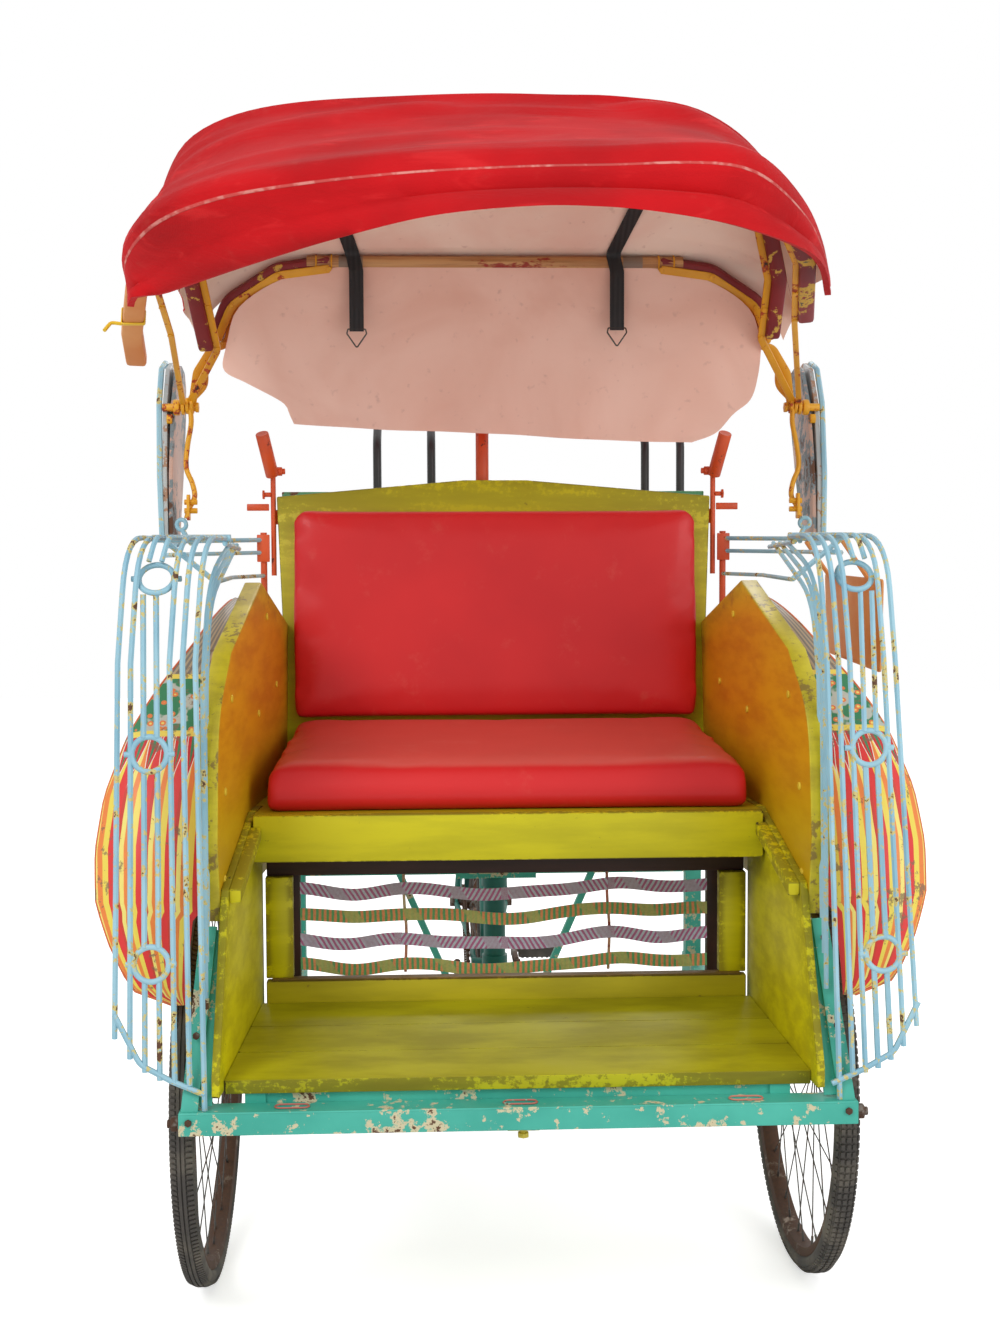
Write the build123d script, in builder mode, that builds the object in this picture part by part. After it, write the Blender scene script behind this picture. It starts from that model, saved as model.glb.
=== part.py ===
from build123d import *
from math import asin, atan2, cos, pi, radians, sin, sqrt, tan
import os

os.makedirs("parts", exist_ok=True)

# A cycle rickshaw: a cab on two front wheels, pushed by a pedalled rear frame.
# Millimetres, Z up from the ground, the front of the cab towards -Y.
# Every y below is measured back from the front axle, and the planes and points
# made here move it by FRONT_AXLE_Y, so that the origin is below the middle.
FRONT_AXLE_Y = -648.0

# Wheels: 28 inch with balloon tyres
WHEEL_RADIUS = 350.0
AXLE_Z = WHEEL_RADIUS
TRACK_X = 503.0
REAR_AXLE_Y = 1380.0
TYRE_WIDTH = 38.0
TYRE_DEPTH = 36.0
RIM_DEPTH = 14.0
SPOKE_COUNT = 36
SPOKE_SIZE = 2.4
SPOKE_GAP = 0.25
AXLE_RADIUS = 11.0
AXLE_GAP = 0.4

# Cab floor and boards: the sides lean in towards the back by one angle
TOE = 3.5
FOOT_INNER_X = 405.0
FOOT_THICK = 12.0
SIDE_THICK = 30.0
FLOOR_FRONT_Y = -409.0
FLOOR_BACK_Y = -56.0
FLOOR_FRONT_Z = 453.0
FLOOR_BACK_Z = 474.0
FLOOR_THICK = 20.0
KICK_TOP_Z = 510.0
APRON_Y = -150.0
APRON_TOP_Z = 800.0
APRON_LOW_Z = 725.0
BEAM_LOW_Z = 682.0
DECK_THICK = 18.0
POST_Y = -30.0
BAND_Y = 50.0

# Chassis
RAIL_X = 385.0
RAIL_WIDTH = 30.0
RAIL_TOP_Z = 433.0
RAIL_DEPTH = 40.0
RAIL_BACK_Y = 450.0
SILL_X = 490.0
SILL_FRONT_Y = -450.0
SILL_TOP_Z = 418.0
SILL_FLANGE = 46.0
SILL_SKIRT = 32.0
SILL_WALL = 5.0

# Steering head
PIN_Y = 500.0
PIN_RADIUS = 11.0
HEAD_RADIUS = 25.5
HEAD_LOW_Z = 346.0
HEAD_TOP_Z = 586.0
BRACE_Y = 420.0
BRACE_BEAM_Z = 600.0

# Hood pivots
PIVOT_Y = 420.0
PIVOT_Z = 1500.0
PIVOT_BOLT = 7.0


def spot(x, y, z):
    """A point, its y measured back from the front axle."""
    return Vector(x, FRONT_AXLE_Y + y, z)


def side_plane(x):
    """Local x runs back from the front axle, local y up, and the normal to the right."""
    return Plane(origin=(x, FRONT_AXLE_Y, 0), x_dir=(0, 1, 0), z_dir=(1, 0, 0))


def toed_plane(x):
    """A side plane that leans in towards the back like the cab's boards."""
    back = Vector(-sin(radians(TOE)), cos(radians(TOE)), 0)
    out = Vector(cos(radians(TOE)), sin(radians(TOE)), 0)
    return Plane(origin=(x, FRONT_AXLE_Y, 0), x_dir=back, z_dir=out)


def front_plane(y):
    """Local x is X, local y is Z, and the normal faces forwards."""
    return Plane(origin=(0, FRONT_AXLE_Y + y, 0), x_dir=(1, 0, 0), z_dir=(0, -1, 0))


def level_plane(z):
    """A plan view at a height, its local y measured back from the front axle."""
    return Plane(origin=(0, FRONT_AXLE_Y, z), x_dir=(1, 0, 0), z_dir=(0, 0, 1))


def radial_plane(origin, angle):
    """A plane through a line along X: local x is X, local y the distance from the line."""
    out = Vector(0, cos(radians(angle)), sin(radians(angle)))
    return Plane(origin=origin, x_dir=(1, 0, 0), z_dir=Vector(1, 0, 0).cross(out))


def hood_plane(angle):
    """A radial plane through the hood's pivots."""
    return radial_plane(spot(0, PIVOT_Y, PIVOT_Z), angle)


def toed_x(x, y):
    """How far out a toed board is at a distance behind the front axle."""
    return x - y * tan(radians(TOE))


def plate(plane, outline, thickness):
    """Adds a flat plate with straight edges, as thick as given along the plane's normal."""
    with BuildSketch(plane, mode=Mode.PRIVATE) as shape:
        with BuildLine():
            Polyline(*outline, close=True)
        make_face()
    extrude(shape.sketch, amount=thickness)


def bar(start, end, width, depth, across=(1, 0, 0)):
    """Adds a straight bar between two points, its width along one direction."""
    run = end - start
    with BuildSketch(Plane(origin=start, x_dir=across, z_dir=run), mode=Mode.PRIVATE) as section:
        Rectangle(width, depth)
    extrude(section.sketch, amount=run.length)


def bent(route, bend):
    """A route with each corner replaced by two short runs that follow a bend of one radius."""
    points = [route[0]]
    for before, corner, after in zip(route, route[1:], route[2:]):
        back = (before - corner).normalized()
        onward = (after - corner).normalized()
        half = (pi - radians(back.get_angle(onward))) / 2
        if half < radians(4):
            points.append(corner)
            continue
        reach = bend * tan(half)
        middle = (back + onward).normalized() * bend * (1 / cos(half) - 1)
        points.extend([corner + back * reach, corner + middle, corner + onward * reach])
    return [*points, route[-1]]


def rod(route, diameter, bend=0.0, sides=4):
    """Adds a rod along straight runs, its corners bent to one radius in two short runs."""
    if bend > 0:
        route = bent(route, bend)
    with BuildLine(mode=Mode.PRIVATE) as path:
        Polyline(*route)
    start = Plane(origin=route[0], z_dir=route[1] - route[0])
    with BuildSketch(start, mode=Mode.PRIVATE) as section:
        RegularPolygon(diameter / 2, sides)
    sweep(section.sketch, path=path.line, transition=Transition.RIGHT)


def disc(centre, radius, length, hole=0.0, sides=0):
    """Adds a disc about a line along X, centred on a point, round or with flat sides."""
    plane = Plane(origin=centre, x_dir=(0, 1, 0), z_dir=(1, 0, 0))
    with BuildSketch(plane, mode=Mode.PRIVATE) as face:
        if sides:
            RegularPolygon(radius, sides)
        else:
            Circle(radius)
        if hole > 0:
            Circle(hole, mode=Mode.SUBTRACT)
    extrude(face.sketch, amount=length / 2, both=True)


def ring_profile(centre, profile):
    """Adds a ring turned about a line along X, from a profile of (x offset, radius) points."""
    plane = Plane(origin=centre, x_dir=(1, 0, 0), z_dir=(0, -1, 0))
    with BuildSketch(plane, mode=Mode.PRIVATE) as section:
        with BuildLine():
            Polyline(*profile, close=True)
        make_face()
    revolve(section.sketch, axis=Axis(centre, (1, 0, 0)))


def mirrored(points):
    """An outline's right half, given from the middle outwards, with its left half added."""
    left = [(-x, y) for x, y in points if x > 0]
    return left[::-1] + list(points)


# Wheels: name, x of the middle plane, y of the axle, hub half width
WHEELS = [
    ("left", -TRACK_X, 0.0, 34.0),
    ("right", TRACK_X, 0.0, 34.0),
    ("rear", 0.0, REAR_AXLE_Y, 34.0),
]
RIM_OUTER = WHEEL_RADIUS - TYRE_DEPTH + 10.0
RIM_INNER = RIM_OUTER - RIM_DEPTH
HUB_RADIUS = 19.0
FLANGE_RADIUS = 34.0
FLANGE_THICK = 4.0
SPROCKET_X = -44.0
SPROCKET_RADIUS = 36.0
SPROCKET_TEETH = 18


def make_wheel(name, x, y, hub_half):
    """Writes one wheel's tyre, rim, spokes and hub."""
    centre = spot(x, y, AXLE_Z)
    half = TYRE_WIDTH / 2
    with BuildPart() as tyre:
        tread = WHEEL_RADIUS
        ring_profile(centre, [
            (-half * 0.45, tread), (-half, tread - 13), (-half * 0.75, tread - TYRE_DEPTH + 6),
            (half * 0.75, tread - TYRE_DEPTH + 6), (half, tread - 13), (half * 0.45, tread),
        ])
    tyre.part.label = "tyre_" + name
    export_step(tyre.part, "parts/tyre_" + name + ".step")

    with BuildPart() as rim:
        top = WHEEL_RADIUS - TYRE_DEPTH + 5.6
        ring_profile(centre, [(-15, top), (0, RIM_INNER - 4), (15, top)])
    rim.part.label = "rim_" + name
    export_step(rim.part, "parts/rim_" + name + ".step")

    with BuildPart() as hub:
        disc(centre, HUB_RADIUS, 2 * hub_half, sides=12)
        for flange_x in (-hub_half + 8, hub_half - 8):
            disc(centre + Vector(flange_x, 0, 0), FLANGE_RADIUS, FLANGE_THICK, sides=16)
        if name == "rear":
            disc(centre + Vector(-hub_half - 5, 0, 0), 24.0, 12.0, sides=12)
            disc(centre + Vector(SPROCKET_X, 0, 0), SPROCKET_RADIUS, 3.0, sides=SPROCKET_TEETH)
        with BuildSketch(Plane(origin=centre - Vector(60, 0, 0), z_dir=(1, 0, 0)), mode=Mode.PRIVATE) as bore:
            Circle(AXLE_RADIUS + AXLE_GAP)
        extrude(bore.sketch, amount=120, mode=Mode.SUBTRACT)
    hub.part.label = "hub_" + name
    export_step(hub.part, "parts/hub_" + name + ".step")

    with BuildPart() as spokes:
        lead = 360.0 / SPOKE_COUNT * 3.0
        for number in range(SPOKE_COUNT):
            rim_angle = 360.0 / SPOKE_COUNT * number
            side = 1 if number % 2 else -1
            turn = 1 if number % 4 < 2 else -1
            outer_face = 1 if turn > 0 else -1
            hub_angle = radians(rim_angle + turn * lead)
            off_flange = FLANGE_THICK / 2 + SPOKE_SIZE / 2 + SPOKE_GAP
            flange_x = side * (hub_half - 8 + outer_face * off_flange)
            radial = radians(rim_angle)
            foot_radius = FLANGE_RADIUS - 3
            foot = centre + Vector(flange_x, foot_radius * cos(hub_angle), foot_radius * sin(hub_angle))
            reach = RIM_INNER - 3.8
            tip = centre + Vector(side * 1.5, reach * cos(radial), reach * sin(radial))
            bar(foot, tip, SPOKE_SIZE, SPOKE_SIZE)
    spokes.part.label = "spokes_" + name
    export_step(spokes.part, "parts/spokes_" + name + ".step")


for wheel in WHEELS:
    make_wheel(*wheel)

# Chassis: two rails, cross-members, the beam and V braces that hold the steering head
with BuildPart() as chassis:
    rail_z = RAIL_TOP_Z - RAIL_DEPTH / 2
    rail_front = spot(RAIL_X, SILL_FRONT_Y + SILL_FLANGE, rail_z)
    bar(rail_front, spot(RAIL_X, RAIL_BACK_Y, rail_z), RAIL_WIDTH, RAIL_DEPTH)
    bar(spot(RAIL_X, BRACE_Y, RAIL_TOP_Z), spot(RAIL_X, BRACE_Y, BRACE_BEAM_Z + 30), RAIL_WIDTH, 30)
    bar(spot(192, BRACE_Y, BRACE_BEAM_Z + 10), spot(71, BRACE_Y, 336), 16, 12, (0, 1, 0))
    mirror(about=Plane.YZ)
    # Cross-members: y, z of the middle, height
    for cross_y, cross_z, height in [(-385, 413, 40), (-20, 413, 36), (BRACE_Y, 373, 40)]:
        bar(spot(-RAIL_X - 15, cross_y, cross_z), spot(RAIL_X + 15, cross_y, cross_z), 30, height, (0, 1, 0))
    beam_z = BRACE_BEAM_Z + 15
    bar(spot(-RAIL_X - 15, BRACE_Y, beam_z), spot(RAIL_X + 15, BRACE_Y, beam_z), 30, 30, (0, 1, 0))
    # Plates above and below the steering head
    for plate_z in (HEAD_LOW_Z - 16, HEAD_TOP_Z + 4):
        plate(level_plane(plate_z), [
            (-78, BRACE_Y - 8), (78, BRACE_Y - 8), (78, BRACE_Y + 14), (20, PIN_Y + 10),
            (10, PIN_Y + 22), (-10, PIN_Y + 22), (-20, PIN_Y + 10), (-78, BRACE_Y + 14),
        ], 12)
    with BuildSketch(level_plane(HEAD_LOW_Z - 30)) as pin_hole:
        with Locations((0, PIN_Y)):
            Circle(PIN_RADIUS + 0.3)
    extrude(amount=300, mode=Mode.SUBTRACT)
chassis.part.label = "chassis"
export_step(chassis.part, "parts/chassis.step")

with BuildPart() as king_pin:
    with BuildSketch(level_plane(HEAD_LOW_Z - 22)) as pin_face:
        with Locations((0, PIN_Y)):
            Circle(PIN_RADIUS)
    extrude(amount=HEAD_TOP_Z - HEAD_LOW_Z + 46)
    for nut_z in (HEAD_LOW_Z - 26, HEAD_TOP_Z + 16):
        with BuildSketch(level_plane(nut_z)) as nut:
            with Locations((0, PIN_Y)):
                RegularPolygon(18, 6)
        extrude(amount=10)
king_pin.part.label = "king_pin"
export_step(king_pin.part, "parts/king_pin.step")

# Front sill: an angle iron with three long holes, and the sloping corner posts
with BuildPart() as front_sill:
    plate(front_plane(SILL_FRONT_Y), [
        (-SILL_X, SILL_TOP_Z - SILL_SKIRT), (SILL_X, SILL_TOP_Z - SILL_SKIRT),
        (SILL_X, SILL_TOP_Z), (-SILL_X, SILL_TOP_Z),
    ], -SILL_WALL)
    with BuildSketch(level_plane(SILL_TOP_Z)) as flange:
        with Locations((0, SILL_FRONT_Y + SILL_FLANGE / 2)):
            Rectangle(2 * SILL_X, SILL_FLANGE)
        with Locations(*[(x, SILL_FRONT_Y + 24) for x in (-330, 0, 330)]):
            SlotOverall(48, 16, mode=Mode.SUBTRACT)
    extrude(amount=-SILL_WALL)
    post_top = spot(457, -338, 664)
    post_foot = spot(SILL_X - 14, SILL_FRONT_Y + 14, SILL_TOP_Z)
    for mirror_x in (-1, 1):
        top = Vector(mirror_x * post_top.X, post_top.Y, post_top.Z)
        foot = Vector(mirror_x * post_foot.X, post_foot.Y, post_foot.Z)
        bar(foot - Vector(0, 0, 3), top, 24, 8)
front_sill.part.label = "front_sill"
export_step(front_sill.part, "parts/front_sill.step")

# Floor: one board that rises slightly to the back
with BuildPart() as floor_board:
    plate(side_plane(-460), [
        (FLOOR_FRONT_Y, FLOOR_FRONT_Z), (FLOOR_BACK_Y, FLOOR_BACK_Z),
        (FLOOR_BACK_Y, FLOOR_BACK_Z - FLOOR_THICK), (FLOOR_FRONT_Y, FLOOR_FRONT_Z - FLOOR_THICK),
    ], 920)
    with BuildSketch(level_plane(0), mode=Mode.PRIVATE) as plan:
        with BuildLine():
            Polyline(*mirrored([
                (toed_x(FOOT_INNER_X, FLOOR_BACK_Y), FLOOR_BACK_Y),
                (toed_x(FOOT_INNER_X, FLOOR_FRONT_Y), FLOOR_FRONT_Y),
            ]), close=True)
        make_face()
    extrude(plan.sketch, amount=600, mode=Mode.INTERSECT)
floor_board.part.label = "floor_board"
export_step(floor_board.part, "parts/floor_board.step")

with BuildPart() as foot_panels:
    plate(toed_plane(FOOT_INNER_X), [
        (-440, 436), (-30, 436), (-30, 800), (-100, 800), (-345, 720), (-440, 466),
    ], FOOT_THICK)
    mirror(about=Plane.YZ)
foot_panels.part.label = "foot_panels"
export_step(foot_panels.part, "parts/foot_panels.step")

# Side panels: a long curve up the front, over the arm rest and down to the back
with BuildPart() as side_panels:
    with BuildSketch(toed_plane(FOOT_INNER_X).offset(FOOT_THICK)) as side_shape:
        with BuildLine():
            Polyline((348, 782), (348, 672), (-345, 672), (-363, 790))
            ThreePointArc((-363, 790), (-333, 965), (-228, 1066))
            Polyline((-228, 1066), (70, 1170), (378, 1088), (348, 782))
        make_face()
    extrude(amount=SIDE_THICK)
    mirror(about=Plane.YZ)
side_panels.part.label = "side_panels"
export_step(side_panels.part, "parts/side_panels.step")

# Seat box: apron, deck, dark beam, posts at the floor's back and the kick board
with BuildPart() as seat_box:
    plate(front_plane(APRON_Y), [
        (-410, APRON_LOW_Z), (410, APRON_LOW_Z), (410, APRON_TOP_Z), (-410, APRON_TOP_Z)], -20)
    foot_outer_x = FOOT_INNER_X + FOOT_THICK + 0.4
    plate(level_plane(APRON_TOP_Z - DECK_THICK), mirrored([
        (toed_x(FOOT_INNER_X, APRON_Y + 20) - 0.5, APRON_Y + 20),
        (toed_x(FOOT_INNER_X, POST_Y) - 0.5, POST_Y + 1),
        (toed_x(foot_outer_x, POST_Y) - 0.5, POST_Y + 1),
        (toed_x(foot_outer_x, 348) - 0.5, 348),
    ][::-1]), DECK_THICK)
    plate(front_plane(POST_Y), [
        (-402, BEAM_LOW_Z), (402, BEAM_LOW_Z), (402, APRON_TOP_Z - DECK_THICK),
        (-402, APRON_TOP_Z - DECK_THICK)], -30)
    plate(front_plane(FLOOR_BACK_Y), [
        (-402, RAIL_TOP_Z), (402, RAIL_TOP_Z), (402, KICK_TOP_Z), (-402, KICK_TOP_Z)], -20)
    for side in (-1, 1):
        bar(spot(side * 380, POST_Y - 4, RAIL_TOP_Z), spot(side * 380, POST_Y - 4, BEAM_LOW_Z + 30), 46, 24)
        bar(spot(side * 366, BAND_Y + 10, RAIL_TOP_Z), spot(side * 366, BAND_Y + 10, APRON_TOP_Z - 12), 28, 24)
    for rod_x in (-172, 180):
        bar(spot(rod_x, BAND_Y + 6, 496), spot(rod_x, BAND_Y + 6, APRON_TOP_Z - DECK_THICK + 2), 6, 6)
seat_box.part.label = "seat_box"
export_step(seat_box.part, "parts/seat_box.step")

# Four straps hang in waves across the opening below the seat
with BuildPart() as foot_bands:
    for band_z in (654, 612, 567, 523):
        sag = [(-352, 0), (-180, -16), (0, -20), (180, -16), (352, 0)]
        upper = [(x, band_z + z) for x, z in sag]
        lower = [(x, band_z + z - 20) for x, z in reversed(sag)]
        plate(front_plane(BAND_Y - 1), upper + lower, -3)
foot_bands.part.label = "foot_bands"
export_step(foot_bands.part, "parts/foot_bands.step")

# Back board, leaning, with a slightly peaked top, and the teal rail behind it
BOARD_FOOT = (352.0, 782.0)
BOARD_TOP = (404.0, 1330.0)
with BuildPart() as back_board:
    lean = Vector(0, BOARD_TOP[0] - BOARD_FOOT[0], BOARD_TOP[1] - BOARD_FOOT[1])
    face = Plane(origin=spot(0, *BOARD_FOOT), x_dir=(1, 0, 0), z_dir=Vector(1, 0, 0).cross(lean))
    height = lean.length
    plate(face, [
        (-400, 0), (400, 0), (404, 300), (415, height), (60, height + 31), (-60, height + 31),
        (-415, height), (-404, 300)], -20)
back_board.part.label = "back_board"
export_step(back_board.part, "parts/back_board.step")

# Cushions
with BuildPart() as seat_cushion:
    with BuildSketch(side_plane(0)) as seat_side:
        with BuildLine():
            Polyline((-124, 801), (-128, 835), (-104, 868), (308, 905), (352, 905), (346, 801), close=True)
        make_face()
    extrude(amount=388, both=True)
    with BuildSketch(level_plane(780), mode=Mode.PRIVATE) as seat_plan:
        with BuildLine():
            Polyline((-388, -140), (388, -140), (374, 380), (-374, 380), close=True)
        make_face()
    extrude(seat_plan.sketch, amount=200, mode=Mode.INTERSECT)
seat_cushion.part.label = "seat_cushion"
export_step(seat_cushion.part, "parts/seat_cushion.step")

with BuildPart() as back_cushion:
    plate(face, [(-380, 126), (380, 126), (386, 300), (382, 505), (360, 520), (-360, 520),
                 (-382, 505), (-386, 300)], 40)
back_cushion.part.label = "back_cushion"
export_step(back_cushion.part, "parts/back_cushion.step")

# Axle and leaf springs
with BuildPart() as front_axle:
    disc(spot(0, 0, AXLE_Z), AXLE_RADIUS, 2 * 560, sides=12)
    for side in (-1, 1):
        disc(spot(side * 548, 0, AXLE_Z), 17, 14, sides=6)
        disc(spot(side * 458, 0, AXLE_Z), 17, 14, sides=6)
front_axle.part.label = "front_axle"
export_step(front_axle.part, "parts/front_axle.step")

with BuildPart() as leaf_springs:
    # Leaves from the longest down: half length and thickness
    with BuildSketch(side_plane(RAIL_X - 20)) as leaves:
        with BuildLine():
            ThreePointArc((-330, 393), (0, 372), (330, 393))
            Line((330, 393), (330, 386))
            ThreePointArc((330, 386), (0, 361.5), (-330, 386))
            Line((-330, 386), (-330, 393))
        make_face()
    extrude(amount=40)
    mirror(about=Plane.YZ)
leaf_springs.part.label = "leaf_springs"
export_step(leaf_springs.part, "parts/leaf_springs.step")

# Guards: rows of rods that sweep up from the sill and back to a bar over each wheel
GUARD_BARS = 7
GUARD_ROD = 8.5
GUARD_FOOT_Y = -445.0
GUARD_SHOULDER_Y = -405.0
GUARD_BAR_Y = -240.0
GUARD_BAR_Z = 1240.0
with BuildPart() as guards:
    inner_top = 435.0
    outer_top = 540.0
    rod([spot(inner_top - 6, GUARD_BAR_Y, GUARD_BAR_Z), spot(outer_top + 6, GUARD_BAR_Y, GUARD_BAR_Z)], 12)
    for number in range(GUARD_BARS):
        share = number / (GUARD_BARS - 1)
        top_x = inner_top + share * (outer_top - inner_top)
        mid_x = 462 + share * (572 - 462)
        foot_x = 454 + share * (580 - 454)
        low_z = 455 + 70 * share ** 3 if number else SILL_TOP_Z + 0.2
        rod([
            spot(top_x, GUARD_BAR_Y, GUARD_BAR_Z),
            spot(mid_x - 14, GUARD_SHOULDER_Y + 6, GUARD_BAR_Z),
            spot(mid_x, GUARD_SHOULDER_Y, 1060),
            spot(foot_x, GUARD_FOOT_Y + 8, low_z),
        ], GUARD_ROD, 84)
    rod([
        spot(454, GUARD_FOOT_Y + 8, 442), spot(500, GUARD_FOOT_Y + 8, 462),
        spot(545, GUARD_FOOT_Y + 8, 487), spot(580, GUARD_FOOT_Y + 8, 560)], GUARD_ROD, 14)
    for ring_z, ring_y in [(930, -413), (630, -429)]:
        with BuildSketch(front_plane(ring_y), mode=Mode.PRIVATE) as ring:
            with Locations((521, ring_z)):
                RegularPolygon(27, 10)
                RegularPolygon(19, 10, mode=Mode.SUBTRACT)
        extrude(ring.sketch, amount=4, both=True)
        bar(spot(462, ring_y, ring_z), spot(497, ring_y, ring_z), 8, 8, (0, 1, 0))
        bar(spot(545, ring_y, ring_z), spot(577, ring_y, ring_z), 8, 8, (0, 1, 0))
    mirror(about=Plane.YZ)
guards.part.label = "guards"
export_step(guards.part, "parts/guards.step")

# Fenders: a cambered sheet rolled about a line above the axle and cut to a leaf
FENDER_Y = 200.0
FENDER_Z = 600.0
FENDER_RADIUS = 545.0
with BuildPart() as fenders:
    centre = spot(0, FENDER_Y, FENDER_Z)
    plane = Plane(origin=centre, x_dir=(1, 0, 0), z_dir=(0, -1, 0))
    with BuildSketch(plane) as camber:
        with BuildLine():
            Polyline(
                (430, FENDER_RADIUS - 14), (500, FENDER_RADIUS), (560, FENDER_RADIUS),
                (610, FENDER_RADIUS - 14), (640, FENDER_RADIUS - 40), (638, FENDER_RADIUS - 42),
                (609, FENDER_RADIUS - 16.5), (560, FENDER_RADIUS - 2.5), (500, FENDER_RADIUS - 2.5),
                (430, FENDER_RADIUS - 16.5), close=True)
        make_face()
    revolve(axis=Axis(centre, (1, 0, 0)), revolution_arc=100)
    # Leaf outline seen from the front
    with BuildSketch(front_plane(0), mode=Mode.PRIVATE) as leaf:
        with BuildLine():
            Polyline((430, 1150), (470, 1145), (510, 1070), (550, 1010), (592, 940), (625, 860))
            ThreePointArc((625, 860), (634, 730), (563, 567))
            Polyline((563, 567), (494, 544), (480, 670), (430, 690), (430, 1150))
        make_face()
    extrude(leaf.sketch, amount=900, both=True, mode=Mode.INTERSECT)
    panel_face = toed_plane(FOOT_INNER_X).offset(FOOT_THICK + SIDE_THICK + 0.2)
    with BuildSketch(panel_face, mode=Mode.PRIVATE) as inner_side:
        with Locations((0, 900)):
            Rectangle(1400, 1000)
    extrude(inner_side.sketch, amount=-200, mode=Mode.SUBTRACT)
    mirror(about=Plane.YZ)
fenders.part.label = "fenders"
export_step(fenders.part, "parts/fenders.step")

# Wing plates: they lean out from the arm rails and carry the hood's pivots
with BuildPart() as wing_plates:
    tilt = 4.8
    out = Vector(cos(radians(tilt)), 0, -sin(radians(tilt)))
    wing = Plane(origin=spot(600, 0, 1240), x_dir=(0, 1, 0), z_dir=out)
    plate(wing, [
        (350, 0), (450, 0), (520, 120), (586, 250), (604, 320), (590, 350), (545, 360), (490, 342),
        (430, 270), (375, 130),
    ], 4)
    mirror(about=Plane.YZ)
wing_plates.part.label = "wing_plates"
export_step(wing_plates.part, "parts/wing_plates.step")

# Arm rails: twin rods from each guard's bar to the back board, with the bracket for the wing
with BuildPart() as arm_rails:
    for rail_z, drop in [(1240, 0), (1216, 0)]:
        rod([
            spot(500, GUARD_BAR_Y + 7, rail_z), spot(556, -60, rail_z), spot(560, 250, rail_z + 4),
            spot(441, 410, rail_z + 8)], 10, 60)
    rod([spot(474, -60, 1172), spot(478, 200, 1178), spot(441, 410, 1180)], 8, 60)
    bar(spot(441, 410, 1100), spot(441, 410, 1264), 14, 10)
    bar(spot(427, 410, 1210), spot(440, 410, 1210), 10, 24, (0, 1, 0))
    bar(spot(560, 200, 1232), spot(596.5, 372, 1254), 22, 6, (0, 0, 1))
    bar(spot(474, -60, 1172), spot(556, -60, 1240), 8, 20, (0, 1, 0))
    mirror(about=Plane.YZ)
arm_rails.part.label = "arm_rails"
export_step(arm_rails.part, "parts/arm_rails.step")

# Hood stays: a wavy strap up each side and the bracket of the pivot
with BuildPart() as hood_stays:
    rod([
        spot(578, 345, 1262), spot(584, 352, 1320), spot(572, 372, 1380), spot(586, 396, 1440),
        spot(600, 414, 1500)], 10, 16)
    disc(spot(600, PIVOT_Y, PIVOT_Z), 16, 10, sides=12)
    disc(spot(583, PIVOT_Y, PIVOT_Z), PIVOT_BOLT, 74, sides=12)
    disc(spot(543, PIVOT_Y, PIVOT_Z), 11, 8, sides=6)
    plate(wing.offset(-3), [(396, 238), (444, 238), (444, 284), (396, 284)], 2.9)
    mirror(about=Plane.YZ)
hood_stays.part.label = "hood_stays"
export_step(hood_stays.part, "parts/hood_stays.step")

# Orange sockets for poles at the back corners and in the middle
SOCKET_RADIUS = 12.5
SOCKET_BORE = 9.5
SOCKET_DEPTH = 60.0


def socket_tube(foot, top):
    """Adds a tube from its foot to its open top, bored from the top."""
    with BuildSketch(Plane(origin=foot, z_dir=top - foot), mode=Mode.PRIVATE) as tube:
        RegularPolygon(SOCKET_RADIUS, 12)
    extrude(tube.sketch, amount=(top - foot).length)
    with BuildSketch(Plane(origin=top, z_dir=foot - top), mode=Mode.PRIVATE) as bore:
        Circle(SOCKET_BORE)
    extrude(bore.sketch, amount=SOCKET_DEPTH, mode=Mode.SUBTRACT)


with BuildPart() as pole_sockets:
    for side in (-1, 1):
        socket_tube(spot(side * 422, 404, 1368), spot(side * 436, 376, 1450))
        bar(spot(side * 422, 410, 1180), spot(side * 422, 410, 1390), 10, 10)
        bar(spot(side * 427, 410, 1310), spot(side * 470, 410, 1310), 14, 6, (0, 0, 1))
    plate(face.offset(-20.1), [(360, 500), (426, 500), (426, 530), (360, 530)], -5)
    plate(face.offset(-20.1), [(-426, 500), (-360, 500), (-360, 530), (-426, 530)], -5)
    for side in (-1, 1):
        bar(spot(side * 422, 405, 1262), spot(side * 422, 428, 1262), 8, 20)
    socket_tube(spot(-22, 440, 1290), spot(-22, 440, 1460))
    bar(spot(-22, 424.5, 1310), spot(-22, 432, 1310), 30, 30)
pole_sockets.part.label = "pole_sockets"
export_step(pole_sockets.part, "parts/pole_sockets.step")

# Push handle: four flat uprights behind the back board, and the bar that the rider holds
with BuildPart() as push_handle:
    for upright_x in (-226, -120, 302, 372):
        rod([
            spot(upright_x, 422, 1140), spot(upright_x, 500, 1200), spot(upright_x, 500, 1440),
            spot(upright_x, 618, 1520)], 18, 30, 4)
    rod([spot(-300, 620, 1520), spot(430, 620, 1520)], 26, 0, 8)
    bar(spot(-300, 418, 1150), spot(400, 418, 1150), 16, 30, (0, 1, 0))
push_handle.part.label = "push_handle"
export_step(push_handle.part, "parts/push_handle.step")

# Hood: three bent wooden bows that fan out from the pivots, each with a flat iron inside its ends
REAR_ANGLE = 115.6
MID_ANGLE = 135.7
FRONT_ANGLE = 159.6
BOW_WIDTH = 28.0
BOW_DEPTH = 20.0
IRON_THICK = 5.0
IRON_WIDTH = 18.0
POLE_DIAMETER = 26.0
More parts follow.
